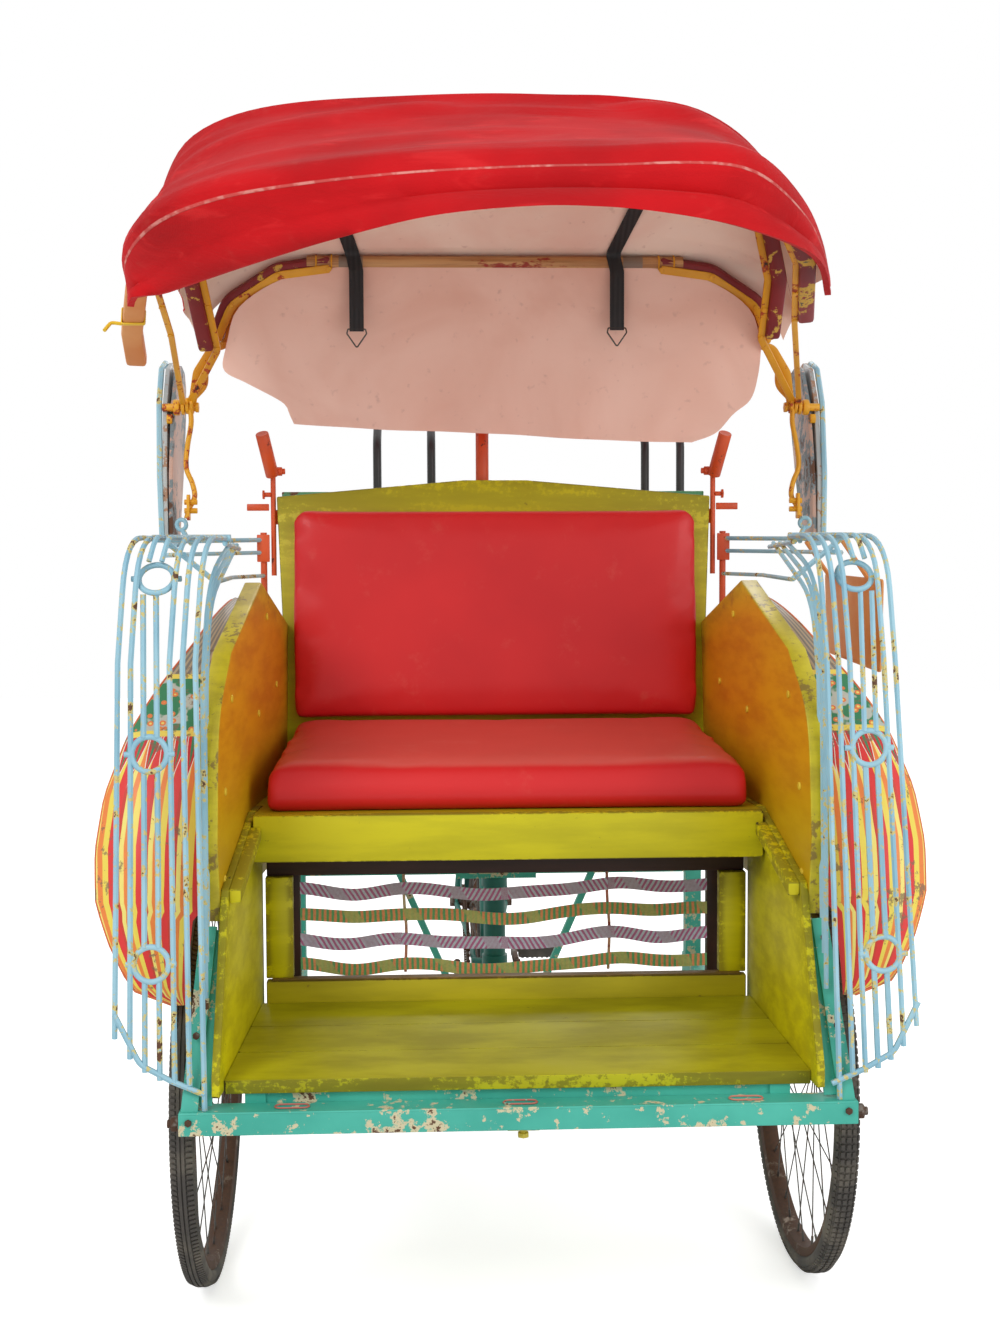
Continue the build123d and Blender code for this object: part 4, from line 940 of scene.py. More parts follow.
# The rear bow: a pole between two bent ends, with straps and bands
rear_place = hood_plane(REAR_ANGLE)
rear_normal = rear_place.to_3x3() @ Vector((0, 0, 1))
pole = rod("rear_pole", [rear_place @ Vector((x, 0.279, 0)) for x in (-0.345, -0.1, 0.12, 0.345)], 0.0255, sides=16)
wear(pole, "hood_rear", POLE, ["rear_bow"])
for label, side in SIDES:
    route = [(side * x, r) for x, r in REAR_BOW_END]
    wood(f"rear_bow_end_{label}", "hood_rear", REAR_ANGLE, route, 0.05, MAROON)
    iron("rear_iron", "rear", REAR_ANGLE, route, side, [(0.560, 0.070), (0.528, 0.118)])
    strap_place = Matrix.Translation(rear_normal * (WOOD_DEEP / 2 + 0.0045)) @ rear_place
    strap_way = [(side * x, r) for x, r in ((0.520, 0.140), (0.490, 0.206), (0.400, 0.264), (0.305, 0.277))]
    strap_line = beside(strap_way, side * -(WOOD / 2 - 0.0088))
    strap = [ribbon("rear_strap", strap_place, strap_line, 0.0150, 0.0040, 0.05, 0.0010)]
    for x, r in strap_line:
        strap.append(disc("strap_screw", strap_place @ Vector((x, r, 0.0028)), 0.0048, 0.0026, rear_normal, 12))
    wear(join(strap, f"rear_strap_{label}"), "hood_rear", AMBER)
    for step in (0.328, 0.300):
        clasp = hoop(f"pole_band_{label}", rear_place @ Vector((side * step, 0.279, 0)), 0.0136, 0.003)
        wear(clasp, "hood_rear", AMBER)

# Back flap: one hung sheet with a dark red sewn edge, red outside

FLAP_TOP, FLAP_HANG = spot(0, 0.300, 1.730), Vector((0, -0.2095, 0.9778))
FLAP_LEFT = [(-0.497, -0.128), (-0.503, -0.172), (-0.460, -0.197), (-0.396, -0.232), (-0.384, -0.254),
             (-0.376, -0.272)]
FLAP_RIGHT = [(0.497, -0.128), (0.494, -0.178), (0.482, -0.226), (0.450, -0.254), (0.418, -0.290),
              (0.373, -0.308)]
FLAP_UPPER = [(-0.497, -0.128), (-0.472, -0.060), (-0.390, -0.008), (-0.280, 0.014), (0, 0.016), (0.280, 0.014),
              (0.390, -0.008), (0.472, -0.060), (0.497, -0.128)]
FLAP_LOWER = [(-0.376, -0.272), (-0.200, -0.283), (0.010, -0.292), (0.200, -0.302), (0.373, -0.308)]


def flap_point(u, v):
    """The flap's sheet between its four edges, waving a little towards the bottom."""
    def on(line, t):
        """The place at a share of the way along an edge."""
        spaced = FLAP_EDGES[line]
        place = t * (len(spaced) - 1)
        low = min(int(place), len(spaced) - 2)
        return spaced[low].lerp(spaced[low + 1], place - low)
    top, low, left, right = on("upper", u), on("lower", u), on("left", v), on("right", v)
    corners = (on("upper", 0), on("upper", 1), on("lower", 0), on("lower", 1))
    flat = (top * (1 - v) + low * v + left * (1 - u) + right * u - corners[0] * (1 - u) * (1 - v)
            - corners[1] * u * (1 - v) - corners[2] * (1 - u) * v - corners[3] * u * v)
    wave = 0.010 * v * sin(u * 9.0 + 0.8) * sin(u * pi) + 0.004 * v * v * sin(u * 31.0)
    forward = Vector((0, -0.9778, -0.2095))
    return FLAP_TOP + Vector((flat.x, 0, 0)) + FLAP_HANG * flat.y + forward * (0.003 + wave * 0.8)


FLAP_EDGES = {
    name: smooth_line([(*p, 0) for p in line], steps) for name, line, steps in (
        ("upper", FLAP_UPPER, 60), ("lower", FLAP_LOWER, 60), ("left", FLAP_LEFT, 30), ("right", FLAP_RIGHT, 30))
}
flap = surface("back_flap_cloth", 60, 26, flap_point)
flap_hem = rod("flap_hem", [flap_point(*p) for p in (
    [(0.012, t / 24) for t in range(4, 24)] + [(t / 50, 0.972) for t in range(1, 50)]
    + [(0.988, 1 - t / 24) for t in range(1, 20)])], 0.0032, sides=8)
wear(flap_hem, "hood_rear", MAROON)
lined(flap, 0.0024, lambda point: Vector((0, 1, 0)))
wear(flap, "hood_rear", [HOOD_RED, FLAP], ["back_flap"])

wear(front_cloth, None, [HOOD_RED, LINING], ["roof_front"])
wear(rear_cloth, None, [HOOD_RED, REAR_LINING], ["roof_rear"])
across_bow(front_cloth)
across_bow(rear_cloth)

# Two black straps: from the lining over the pole, then hanging, each with a wire triangle
for label, top_x, pole_x, low_x, low_z in (
        ("left", -0.300, -0.262, -0.255, 1.625), ("right", 0.262, 0.215, 0.222, 1.628)):
    roof_end = hood_plane(131.0) @ Vector((top_x, 0.480, 0))
    crest = rear_place @ Vector((pole_x, 0.296, 0)) + Vector((0, -0.002, 0))
    spine = rounded([roof_end, crest, spot(low_x, 0.283, 1.735), spot(low_x, 0.284, low_z)], 0.014)
    band = surface(f"hood_strap_{label}", 2, len(spine) - 1, lambda u, v, spine=spine: (
        spine[min(len(spine) - 1, round(v * (len(spine) - 1)))] + Vector(((u - 0.5) * 0.026, 0, 0))))
    modify(band, "SOLIDIFY", thickness=0.0026, offset=0)
    smooth(band, 60)
    wear(band, None, WEBBING, ["hood_straps"] if label == "left" else ())
    across_bow(band)
    triangle = [(-0.016, 0.284, 0.004), (-0.018, 0.284, -0.004), (0, 0.283, -0.030), (0.018, 0.284, -0.004),
                (0.016, 0.284, 0.004), (-0.016, 0.284, 0.004)]
    wire = rod(f"strap_wire_{label}", [spot(low_x + x, y, low_z + z) for x, y, z in triangle], 0.003, 0.003, sides=8)
    wear(wire, "hood_rear", SPOKE)


# Guards: bars bent over the wheels, with rings that break the middle two

GUARD_ROD, GUARD_TOP_Z, GUARD_BAR_Y, GUARD_FRONT_Y, GUARD_KNEE_Z = 0.0085, 1.240, -0.240, -0.437, 1.060
# Each guard's rods start at an x and spread over a width, at its top, knee and foot
GUARD_SPREADS = {"left": ((0.435, 0.105), (0.462, 0.110), (0.454, 0.126)),
                 "right": ((0.430, 0.082), (0.450, 0.100), (0.466, 0.112))}
GUARD_RING_X = {"left": (0.518, 0.528, 0.528), "right": (0.494, 0.511, 0.530)}
# The rings' y and z, and the way that each faces
GUARD_RINGS = [(-0.386, 1.180, (0, -0.80, 0.60)), (-0.413, 0.930, (0, -1, 0.08)), (-0.429, 0.630, (0, -1, 0.06))]
for label, side in SIDES:
    spreads = GUARD_SPREADS[label]
    bar_end = spreads[0][0] + spreads[0][1] + 0.007
    parts = [rod("guard_bar", [spot(side * x, GUARD_BAR_Y, GUARD_TOP_Z) for x in (0.428, bar_end)], 0.012, sides=12)]
    for number in range(7):
        share = number / 6
        top_x, mid_x, foot_x = [side * (start + width * share) for start, width in spreads]
        top = spot(top_x, GUARD_BAR_Y, GUARD_TOP_Z)
        low = spot(foot_x, GUARD_FRONT_Y, 0.455 + 0.070 * share ** 3 if number else 0.4185)
        shoulder = spot(mid_x - side * 0.014, -0.399, GUARD_TOP_Z)
        knee = spot(mid_x, -0.405, GUARD_KNEE_Z)
        if number not in (3, 4):
            parts.append(rod("guard_rod", [top, shoulder, knee, low], GUARD_ROD, 0.105))
            continue
        top_way = [top, shoulder + Vector((0, 0.032, 0)), spot(mid_x - side * 0.006, -0.380, 1.205)]
        parts.append(rod("guard_rod", top_way, GUARD_ROD, 0.05))
        for (y0, z0, _), (y1, z1, _) in zip(GUARD_RINGS, GUARD_RINGS[1:]):
            def line(z):
                """The rod's place at a height."""
                if z < GUARD_KNEE_Z:
                    return knee.lerp(low, (GUARD_KNEE_Z - z) / (GUARD_KNEE_Z - low.z))
                return Vector((mid_x, 0, z))
            upper, lower = line(z0 - 0.024), line(z1 + 0.024)
            start = Vector((upper.x, AXLE_Y + y0 - 0.012 if z0 > 1 else AXLE_Y + y0, z0 - 0.022))
            parts.append(rod("guard_rod", [start, Vector((lower.x, AXLE_Y + y1, lower.z))], GUARD_ROD))
        last = line(GUARD_RINGS[-1][1] - 0.022)
        parts.append(rod("guard_rod", [Vector((last.x, AXLE_Y + GUARD_RINGS[-1][0], last.z)), low], GUARD_ROD))
    for (y, z, facing), ring_x in zip(GUARD_RINGS, GUARD_RING_X[label]):
        centre_x = side * ring_x
        parts.append(hoop("guard_ring", spot(centre_x, y, z), 0.0250, GUARD_ROD, facing, 36))
        for out in (-1, 1):
            parts.append(disc("guard_lug", spot(centre_x + out * 0.030, y, z), 0.0042, 0.012, sides=12))
    parts.append(rod("guard_sweep", [spot(side * x, GUARD_FRONT_Y, z) for x, z in (
        (0.454, 0.442), (0.500, 0.462), (0.545, 0.487), (0.580, 0.560))], GUARD_ROD, 0.030))
    # The second row, which turns in towards the board
    for step in (1, 2, 3):
        parts.append(rod("guard_inner", sided(side, [
            (0.436, -0.240 + 0.050 * step, 1.232),
            (0.446 + 0.003 * step, -0.368 + 0.026 * step, 1.200 - 0.018 * step),
            (0.458, -0.382 + 0.020 * step, 1.020),
            (0.456, -0.404 + 0.014 * step, 0.520 + 0.05 * step)]), 0.0075, 0.12))
    parts.append(rod("guard_inner_bar", sided(side, [(0.436, -0.250, 1.232), (0.436, -0.060, 1.226)]), 0.008))
    wear(join(parts, f"guard_{label}"), "cab", BLUE, led(side, "guards"))

# Arm rails with their brackets, and the posts that they end on

POST_X, POST_Y, RAIL_TOP_Z, RAIL_LOW_Z = 0.441, 0.410, 1.240, 1.172
for label, side in SIDES:
    parts = []
    for z, size in ((RAIL_TOP_Z, 0.0095), (1.216, 0.0085)):
        parts.append(rod("rail", [spot(side * x, y, z + rise) for x, y, rise in (
            (0.500, -0.233, 0), (0.556, -0.060, 0), (0.560, 0.250, 0.004), (POST_X, POST_Y, 0.008))], size, 0.060))
    low_end = (0.474, -0.060, RAIL_LOW_Z)
    parts.append(rod("rail", sided(side, [low_end, (0.478, 0.200, 1.178), (POST_X, POST_Y, 1.180)]), 0.008, 0.060))
    parts.append(rod("rail_prop", sided(side, [low_end, (0.556, -0.060, RAIL_TOP_Z)]), 0.010))
    parts.append(ribbon("wing_bracket", plane_at(spot(side * 0.578, 0.290, 1.245), (0, 1, 0.12), (0, 0, 1)),
                        [(-0.095, -0.006), (-0.030, 0.000), (0.080, 0.004)], 0.006, 0.020))
    parts.append(hoop("stay_eye", spot(side * 0.588, 0.352, 1.276), 0.0095, 0.0080, (0.3, 1, 0)))
    eye_leg = sided(side, [(0.586, 0.352, 1.266), (0.572, 0.330, 1.246), (0.556, 0.250, 1.240)])
    parts.append(rod("stay_eye_leg", eye_leg, 0.010, 0.020))
    wear(join(parts, f"arm_rails_{label}"), "cab", BLUE, led(side, "arm_rails"))
    post = rod("post", [spot(side * POST_X, POST_Y, z) for z in (1.100, 1.262)], 0.0125, sides=12)
    clasp = board("clasp", front_plane(side * POST_X, 0.402, 1.232), rect(-0.012, -0.026, 0.012, 0.026), 0.006, 0.0015)
    wear(join([post, clasp], f"rail_post_{label}"), "cab", ORANGE)

# Hood stays: the wavy rod from the foot bracket to the pivot, and the bolts

STAY_WAY = [(0.578, 0.352, 1.288), (0.574, 0.356, 1.306), (0.564, 0.362, 1.328), (0.569, 0.370, 1.354),
            (0.581, 0.378, 1.384), (0.580, 0.390, 1.424), (0.574, 0.402, 1.468), (0.574, 0.412, 1.508),
            (0.549, 0.414, 1.540), (0.546, 0.410, 1.572)]
for label, side in SIDES:
    spine = smooth_line(sided(side, STAY_WAY), 60)
    parts = [rod("stay", spine, 0.0098, sides=12)]
    parts.append(disc("pivot", spot(side * 0.598, PIVOT_BACK, PIVOT.z), 0.0075, 0.064, sides=20))
    parts.append(disc("pivot_boss", spot(side * 0.603, PIVOT_BACK, PIVOT.z), 0.0150, 0.012, sides=24, edge=0.002))
    parts.append(disc("pivot_nut", spot(side * 0.5645, PIVOT_BACK, PIVOT.z), 0.0105, 0.006, sides=6))
    parts.append(disc("pivot_nut", spot(side * 0.617, PIVOT_BACK, PIVOT.z - 0.022), 0.0100, 0.010, sides=6))
    for z in (1.302, 1.318):
        parts.append(disc("foot_bolt", spot(side * 0.570, 0.352, z), 0.0058, 0.024, sides=6))
    parts.append(board("foot_strap", side_plane(side * 0.574, 0.350, 1.310),
                       rect(-0.009, -0.026, 0.009, 0.022), 0.005, 0.0012, 0.006))
    wear(join(parts, f"hood_stay_{label}"), "cab", AMBER, led(side, "hood_stays"))

# Wing plates: a grey plate, a worn lining on its inner face and a pale blue rim

WING = [(0.350, 0), (0.450, 0), (0.520, 0.120), (0.586, 0.250), (0.604, 0.320), (0.590, 0.350), (0.545, 0.360),
        (0.490, 0.342), (0.430, 0.270), (0.375, 0.130)]
WING_MIDDLE = Vector((0.478, 0.185))
WING_INNER = [tuple(WING_MIDDLE + (Vector(p) - WING_MIDDLE) * 0.96) for p in WING]
WING_RIM = [(0.352, 0.004), (0.375, 0.130), (0.430, 0.270), (0.490, 0.342), (0.545, 0.360), (0.588, 0.350),
            (0.602, 0.320), (0.584, 0.250), (0.520, 0.125)]
SCREEN = [(-0.120, 1.020), (0.240, 1.035), (0.262, 1.180), (-0.130, 1.172)]


def wing_plane(side, out, lean):
    """A wing plate's plane, moved out and leaning outwards by an angle."""
    origin = spot(side * 0.600, 0, 1.240) + Vector((side * out, 0, 0))
    return plane_at(origin, (0, 1, 0), (side * sin(lean), 0, cos(lean)))


for label, side in SIDES:
    plate = board(f"wing_plate_{label}", wing_plane(side, 0.0165, radians(2.2)), WING, 0.0080, 0.0018, 0.014)
    wear(plate, "cab", WING_GREY, led(side, "wing_plates"))
    lining_board = board(
        f"wing_lining_{label}", wing_plane(side, 0.0085, radians(0.9)), WING_INNER, 0.0070, 0.0015, 0.012)
    wear(lining_board, "cab", WING_PINK)
    rim_place = wing_plane(side, 0.0235, radians(3.0))
    rim = rod(f"wing_rim_{label}", [rim_place @ Vector((x, z, 0)) for x, z in WING_RIM], 0.011, 0.020)
    wear(rim, "cab", BLUE)
screen = board("wing_screen", side_plane(0.607), SCREEN, 0.003, 0.001, 0.01)
props = [rod("screen_prop", [spot(0.556, y, 1.238), spot(0.6055, y + 0.004, 1.168)], 0.008) for y in (-0.060, 0.200)]
wear(join([screen, *props], "wing_screen"), "cab", TAN)

# Fenders: cambered leaf-shaped sheets, their outer edge as z and x

FENDER_EDGE = [(1.150, 0.430), (1.145, 0.470), (1.070, 0.510), (1.010, 0.550), (0.940, 0.592), (0.860, 0.622),
               (0.780, 0.632), (0.700, 0.628), (0.640, 0.606), (0.590, 0.580), (0.566, 0.563), (0.544, 0.500)]


def fender_point(u, v):
    """A place on the right fender, across from the board outwards and down from the top."""
    turn = radians(95.5 - 94.0 * v)
    z = 0.600 + 0.543 * cos(turn)
    outer = FENDER_EDGE[-1][1]
    for (z0, x0), (z1, x1) in zip(FENDER_EDGE, FENDER_EDGE[1:]):
        if z0 >= z >= z1:
            outer = x0 + (x1 - x0) * (z0 - z) / (z0 - z1)
            break
    if z > 1.150:
        outer = 0.430
    y_mid = 0.200 - 0.545 * sin(turn)
    inner = 0.4482 - y_mid * 0.0612 if z > 0.685 else 0.481 + (0.670 - z) * 0.10
    inner = min(inner, outer - 0.002)
    x = inner + (outer - inner) * u
    camber = 0.545 - 0.014 * max(0.0, (0.500 - x) / 0.070) ** 1.6 - 0.040 * max(0.0, (x - 0.560) / 0.080) ** 1.8
    return spot(x, 0.200 - camber * sin(turn), 0.600 + camber * cos(turn))


fender = surface("fender_right", 28, 64, fender_point)
modify(fender, "SOLIDIFY", thickness=0.0025, offset=0)
smooth(fender, 60)
fender_left = mirrored_x(fender, "fender_left")
wear(fender, "cab", FENDER, ["fenders"])
wear(fender_left, "cab", FENDER)
for label, side in SIDES:
    edge_line = [Vector((side * p.x, p.y, p.z)) for p in [fender_point(1.0, t / 40) for t in range(39)]]
    bead = rod(f"fender_bead_{label}", edge_line, 0.0045, sides=8)
    bead_paint = chipped(f"fender_bead_{side}", tint(226, 120, 60), tint(206, 96, 50), tint(150, 110, 80))
    wear(bead, "cab", bead_paint)

# Side boards with curved fronts, and their studs

panel_line = [(p.x, p.y) for p in smooth_line([(-0.363, 0.790, 0), (-0.333, 0.965, 0), (-0.228, 1.066, 0)], 16)]
PANEL = [(0.348, 0.782), (0.348, 0.672), (-0.345, 0.672), *panel_line, (0.070, 1.170), (0.378, 1.088)]


def front_edged():
    """The side boards' paint: orange on their faces, yellower low down and along the front and top."""
    finish = Finish("side_board_paint")
    height = finish.axes()[2]
    sideways = finish.facing()[0]
    strokes = finish.noise(14.0, 5.0, finish.stretched((1.0, 0.5, 2.0)), 0.6)
    grain = finish.noise(80.0, 4.0, rough=0.7)
    cloud = finish.noise(3.0, 3.0)
    face = finish.mix(strokes.ramp(0.35, 0.7), tint(216, 152, 6), tint(196, 124, 2))
    face = finish.mix(cloud.ramp(0.5, 0.8, 0.0, 0.4), face, tint(176, 104, 2))
    face = finish.mix(height.ramp(0.98, 0.74, 0.0, 0.7), face, tint(182, 156, 8))
    edge = finish.mix(strokes.ramp(0.35, 0.65), tint(206, 190, 30), tint(176, 158, 24))
    worn = (grain * 0.6 + finish.noise(24.0, 3.0) * 0.5).ramp(0.60, 0.66)
    edge = finish.mix(worn * 0.8, edge, tint(122, 96, 44))
    base = finish.mix(abs(sideways).ramp(0.90, 0.96), edge, face)
    finish.bump(strokes * 0.5 + grain * 0.2, 0.25, 0.001)
    return finish.set(Base_Color=base, Roughness=0.38 + strokes * 0.15)


side_finish = front_edged()
panel = board("side_board_right", toed_plane(0.027), PANEL, 0.030, 0.0035)
panel_left = mirrored_x(panel, "side_board_left")
wear(panel, "cab", side_finish, ["side_panels"])
wear(panel_left, "cab", side_finish)
STUD = chipped("board_stud", tint(232, 206, 60), tint(206, 172, 36), tint(140, 110, 50), 0.3, 160.0)
STUDS = [(-0.235, 0.995), (-0.300, 0.860), (-0.315, 0.730), (0.120, 1.110), (0.220, 0.985), (0.020, 0.950),
         (-0.120, 0.780), (0.250, 0.830)]
inner_face = toed_plane(0.012)
face_way = inner_face.to_3x3() @ Vector((0, 0, 1))
studs = [disc("stud", inner_face @ Vector((y, z, -0.001)), 0.0062, 0.003, face_way, 14, 0.0012) for y, z in STUDS]
stud_set = join(studs, "board_studs_right")
stud_left = mirrored_x(stud_set, "board_studs_left")
wear(stud_set, "cab", STUD)
wear(stud_left, "cab", STUD)

# Woven bands across the opening below the seat

BAND_STEPS, BAND_WIDE = 70, 0.021
BAND_SAG = smooth_line([(-0.352, 0.000, 0), (-0.262, -0.009, 0), (-0.176, -0.002, 0), (-0.088, -0.008, 0),
                        (0, -0.013, 0), (0.090, -0.007, 0), (0.180, 0.004, 0), (0.266, -0.003, 0),
                        (0.352, 0.001, 0)], BAND_STEPS)


def band_shape(top):
    """The places of one sagging band, from its upper edge down."""
    def shape(u, v):
        """The band's place at shares across and down it."""
        sag = BAND_SAG[round(u * BAND_STEPS)]
        y = 0.0495 + 0.0015 * sin(u * 40 + v)
        return spot(sag.x, y, top + sag.y + 0.002 * sin(u * 23 + top * 50) - v * BAND_WIDE)
    return shape


for number, top in enumerate((0.654, 0.612, 0.567, 0.523)):
    strip = surface(f"foot_band_{number + 1}", BAND_STEPS, 3, band_shape(top))
    modify(strip, "SOLIDIFY", thickness=0.0022, offset=0)
    smooth(strip, 60)
    finish = BAND_COOL if number % 2 == 0 else BAND_WARM
    wear(strip, "cab", finish, ["foot_bands"] if number == 0 else ())


# Painted boards of the cab, with eased edges


def timber(piece, color, shade, edge, axis, turn=(0, 0, 0), width=0.005, cover=0.55):
    """Brush-painted wood whose narrow faces and corners show the wood below."""
    finish = Finish(piece.name + "_paint")
    back = Euler(turn).to_matrix()
    corners = [back @ vertex.co for vertex in piece.data.vertices]
    low = [min(c[n] for c in corners) for n in range(3)]
    high = [max(c[n] for c in corners) for n in range(3)]
    low[axis] -= 1.0
    high[axis] += 1.0
    point = finish.stretched((1, 1, 1), rotation=turn)
    grain = finish.noise(90.0, 4.0, rough=0.7)
    strokes = finish.noise(14.0, 5.0, finish.stretched((0.35, 1.0, 2.2)), 0.6)
    cloud = finish.noise(3.5, 3.0)
    near = edge_share(finish, low, high, point) + (grain - 0.5) * width * 1.6 + (cloud - 0.5) * width * 2.0
    facing = finish.facing()[axis]
    streaks = (grain * 0.5 + strokes * 0.5).ramp(0.50 - cover * 0.12, 0.56 - cover * 0.12)
    narrow = abs(facing).ramp(0.985, 0.93) * streaks
    worn = near.ramp(width * 0.5, width * 0.12).most(narrow * cover)
    specks = (grain * 0.6 + finish.noise(31.0, 2.0) * 0.4).ramp(0.655, 0.69)
    base = finish.mix(strokes.ramp(0.35, 0.68), color, shade)
    base = finish.mix(cloud.ramp(0.45, 0.8, 0.0, 0.35), base, tuple(0.55 * c for c in shade))
    base = finish.mix((worn + specks * 0.5).least(1.0), base, edge)
    finish.bump(strokes * 0.5 + grain * 0.2 - worn * 0.5, 0.25, 0.0012)
    return finish.set(Base_Color=base, Roughness=0.38 + strokes * 0.14 + worn * 0.3, Specular_IOR_Level=0.32)


def toed(x, y):
    """How far out the inner face of the side boards is at y."""
    return x - y * tan(TOE)


def fit_board(name, place, outline, thick, color, axis, replaces=(), edge=0.002,
              turn=(0, 0, 0), shade=None, rim=EDGE):
    """A board of the cab in its paint, its grain along one axis."""
    piece = board(name, place, outline, thick, edge)
    deep = shade or tuple(0.82 * c for c in color)
    return wear(piece, "cab", timber(piece, color, deep, rim, axis, turn), replaces)


# The seat beam and rear posts are dark brown, darkened further as painted shade under the seat; SHADOW_WOOD is the tone
# of that painted shadow.
GOLD, SHADED_BROWN, SHADOW_WOOD = tint(186, 172, 18), tint(58, 30, 26), tint(44, 24, 20)
FLOOR_FRONT_Y, FLOOR_LONG, FLOOR_HALF = -0.409, 0.3536, 0.4046
floor_lean = atan2(0.021, 0.353)
floor_place = plane_at(spot(0, FLOOR_FRONT_Y, 0.443), (1, 0, 0), (0, cos(floor_lean), sin(floor_lean)))
for number in range(3):
    y0, y1 = FLOOR_LONG * number / 3 + (0.0006 if number else 0), FLOOR_LONG * (number + 1) / 3 - 0.0006
    near, far = toed(FLOOR_HALF, FLOOR_FRONT_Y + y0), toed(FLOOR_HALF, FLOOR_FRONT_Y + y1)
    fit_board(f"floor_board_{number + 1}", floor_place, [(-near, y0), (near, y0), (far, y1), (-far, y1)], 0.020,
              OLIVE, 2, ["floor_board"] if number == 0 else (), 0.0012, (-floor_lean, 0, 0),
              tint(160, 152, 16))
FOOT_PANEL = [(-0.440, 0.436), (-0.030, 0.436), (-0.030, 0.800), (-0.100, 0.800), (-0.345, 0.720), (-0.440, 0.466)]
BATTEN = [(-0.152, 0.783), (-0.345, 0.720), (-0.345, 0.700), (-0.152, 0.763)]
LEFT_YELLOW = tint(206, 196, 8)
foot = board("foot_panel_right", toed_plane(0.006), FOOT_PANEL, 0.012, 0.002)
foot_left = mirrored_x(foot, "foot_panel_left")
wear(foot, "cab", timber(foot, YELLOW, tint(180, 168, 14), EDGE, 0, (0, 0, -TOE)), ["foot_panels"])
wear(foot_left, "cab", timber(foot_left, LEFT_YELLOW, tint(184, 172, 6), EDGE, 0, (0, 0, TOE)))
batten = board("foot_batten_right", toed_plane(-0.009), BATTEN, 0.018, 0.002)
batten_left = mirrored_x(batten, "foot_batten_left")
for piece, toe in ((batten, -TOE), (batten_left, TOE)):
    wear(piece, "cab", timber(piece, YELLOW, tint(206, 190, 24), EDGE, 1, (0, 0, toe)))
fit_board("apron", front_plane(0, -0.140), rect(-0.410, 0.725, 0.410, 0.800), 0.020,
          tint(204, 194, 20), 1, replaces=["seat_box"], edge=0.0025)
fit_board("kick_board", front_plane(0, -0.046), rect(-0.401, 0.434, 0.401, 0.510), 0.020,
          GOLD, 1, edge=0.0025, rim=tint(92, 64, 30))
fit_board("kick_ledge", level_plane(0, 0, 0.5115), rect(-0.392, -0.057, 0.392, -0.034), 0.003,
          tint(132, 100, 44), 2, edge=0.001)
# The beam under the seat: dark brown paint with painted shade.
fit_board("seat_beam", front_plane(0, -0.015), rect(-0.401, 0.682, 0.401, 0.7815), 0.030,
          SHADED_BROWN, 1, edge=0.002, shade=SHADOW_WOOD)
deck = [(toed(x, y), edge_y) for x, y, edge_y in (
    (0.404, -0.130, -0.130), (0.404, -0.030, -0.029), (0.417, -0.030, -0.029), (0.417, 0.348, 0.348))]
fit_board("deck", level_plane(0, 0, 0.791), [*[(-x, y) for x, y in deck[::-1]], *deck], 0.018, GOLD, 2)
for label, side in SIDES:
    left_x, right_x = sorted((side * 0.402, side * 0.357))
    fit_board(f"front_post_{label}", front_plane(0, -0.034), rect(left_x, 0.512, right_x, 0.682),
              0.022, YELLOW, 1, rim=tint(96, 78, 20))
    left_x, right_x = sorted((side * 0.378, side * 0.352))
    # Rear posts: dark brown paint with painted shade.
    fit_board(f"rear_post_{label}", front_plane(0, 0.0615), rect(left_x, 0.434, right_x, 0.782),
              0.022, SHADED_BROWN, 1, shade=SHADOW_WOOD)
thin = []
for x in (-0.172, 0.180):
    route = [spot(x + bend, y, z) for bend, y, z in (
        (0, 0.0545, 0.496), (0.002, 0.0535, 0.570), (-0.002, 0.0550, 0.640), (0, 0.0550, 0.781))]
    thin.append(rod("thin_rod", smooth_line(route, 24), 0.0052, sides=10))
    for z in (0.640, 0.600, 0.556, 0.512):
        thin.append(disc("knot", spot(x, 0.0545, z), 0.0048, 0.006, (0, 0, 1), 12, 0.002))
thin_paint = chipped("thin_rod_paint", tint(186, 176, 130), tint(196, 112, 90), tint(150, 60, 50), 0.4, 60.0)
wear(join(thin, "thin_rods"), "cab", thin_paint)

# Back board, the teal rail behind it and its cushion

board_lean = atan2(0.052, 0.548)
board_up = (0, sin(board_lean), cos(board_lean))
board_face = plane_at(spot(0, 0.352, 0.782), (1, 0, 0), board_up)
board_back = board_face.to_3x3() @ Vector((0, 0, 1))
if board_back.y < 0:
    board_back = -board_back
BOARD_TALL = 0.5505
BACK_BOARD = [(-0.400, 0), (0.400, 0), (0.404, 0.300), (0.415, BOARD_TALL), (0.060, BOARD_TALL + 0.031),
              (-0.060, BOARD_TALL + 0.031), (-0.415, BOARD_TALL), (-0.404, 0.300)]
BOARD_RAIL = [(-0.405, BOARD_TALL - 0.022), (0.405, BOARD_TALL - 0.022), (0.407, BOARD_TALL + 0.012),
              (-0.407, BOARD_TALL + 0.012)]


def behind(depth):
    """The back board's plane moved back from its front face."""
    return Matrix.Translation(board_back * depth) @ board_face


fit_board("back_board_front", behind(0.010), BACK_BOARD, 0.0198, tint(196, 184, 22), 1, replaces=["back_board"],
          edge=0.0025, turn=(board_lean, 0, 0), rim=tint(84, 72, 24))
teal_rail = board("board_rail", behind(0.0265), BOARD_RAIL, 0.012, 0.002)
rail_paint = chipped("rail_paint", tint(70, 150, 96), tint(54, 126, 84), tint(104, 66, 40), 0.42, 40.0)
wear(teal_rail, "cab", rail_paint)

# Cushions, run as cloth under pressure from forms a little larger than they end

CUSHION_LIFT = 0.0008


def rounded_pad(name, place, outline, thick, bend):
    """The closed form a cushion starts from."""
    ring = rounded([(*p, 0) for p in [*outline, outline[0], outline[1]]], bend)[1:-1]
    return merged(settle(line_on(place, [(p.x, p.y) for p in ring], True, thick, "BOTH"), name))


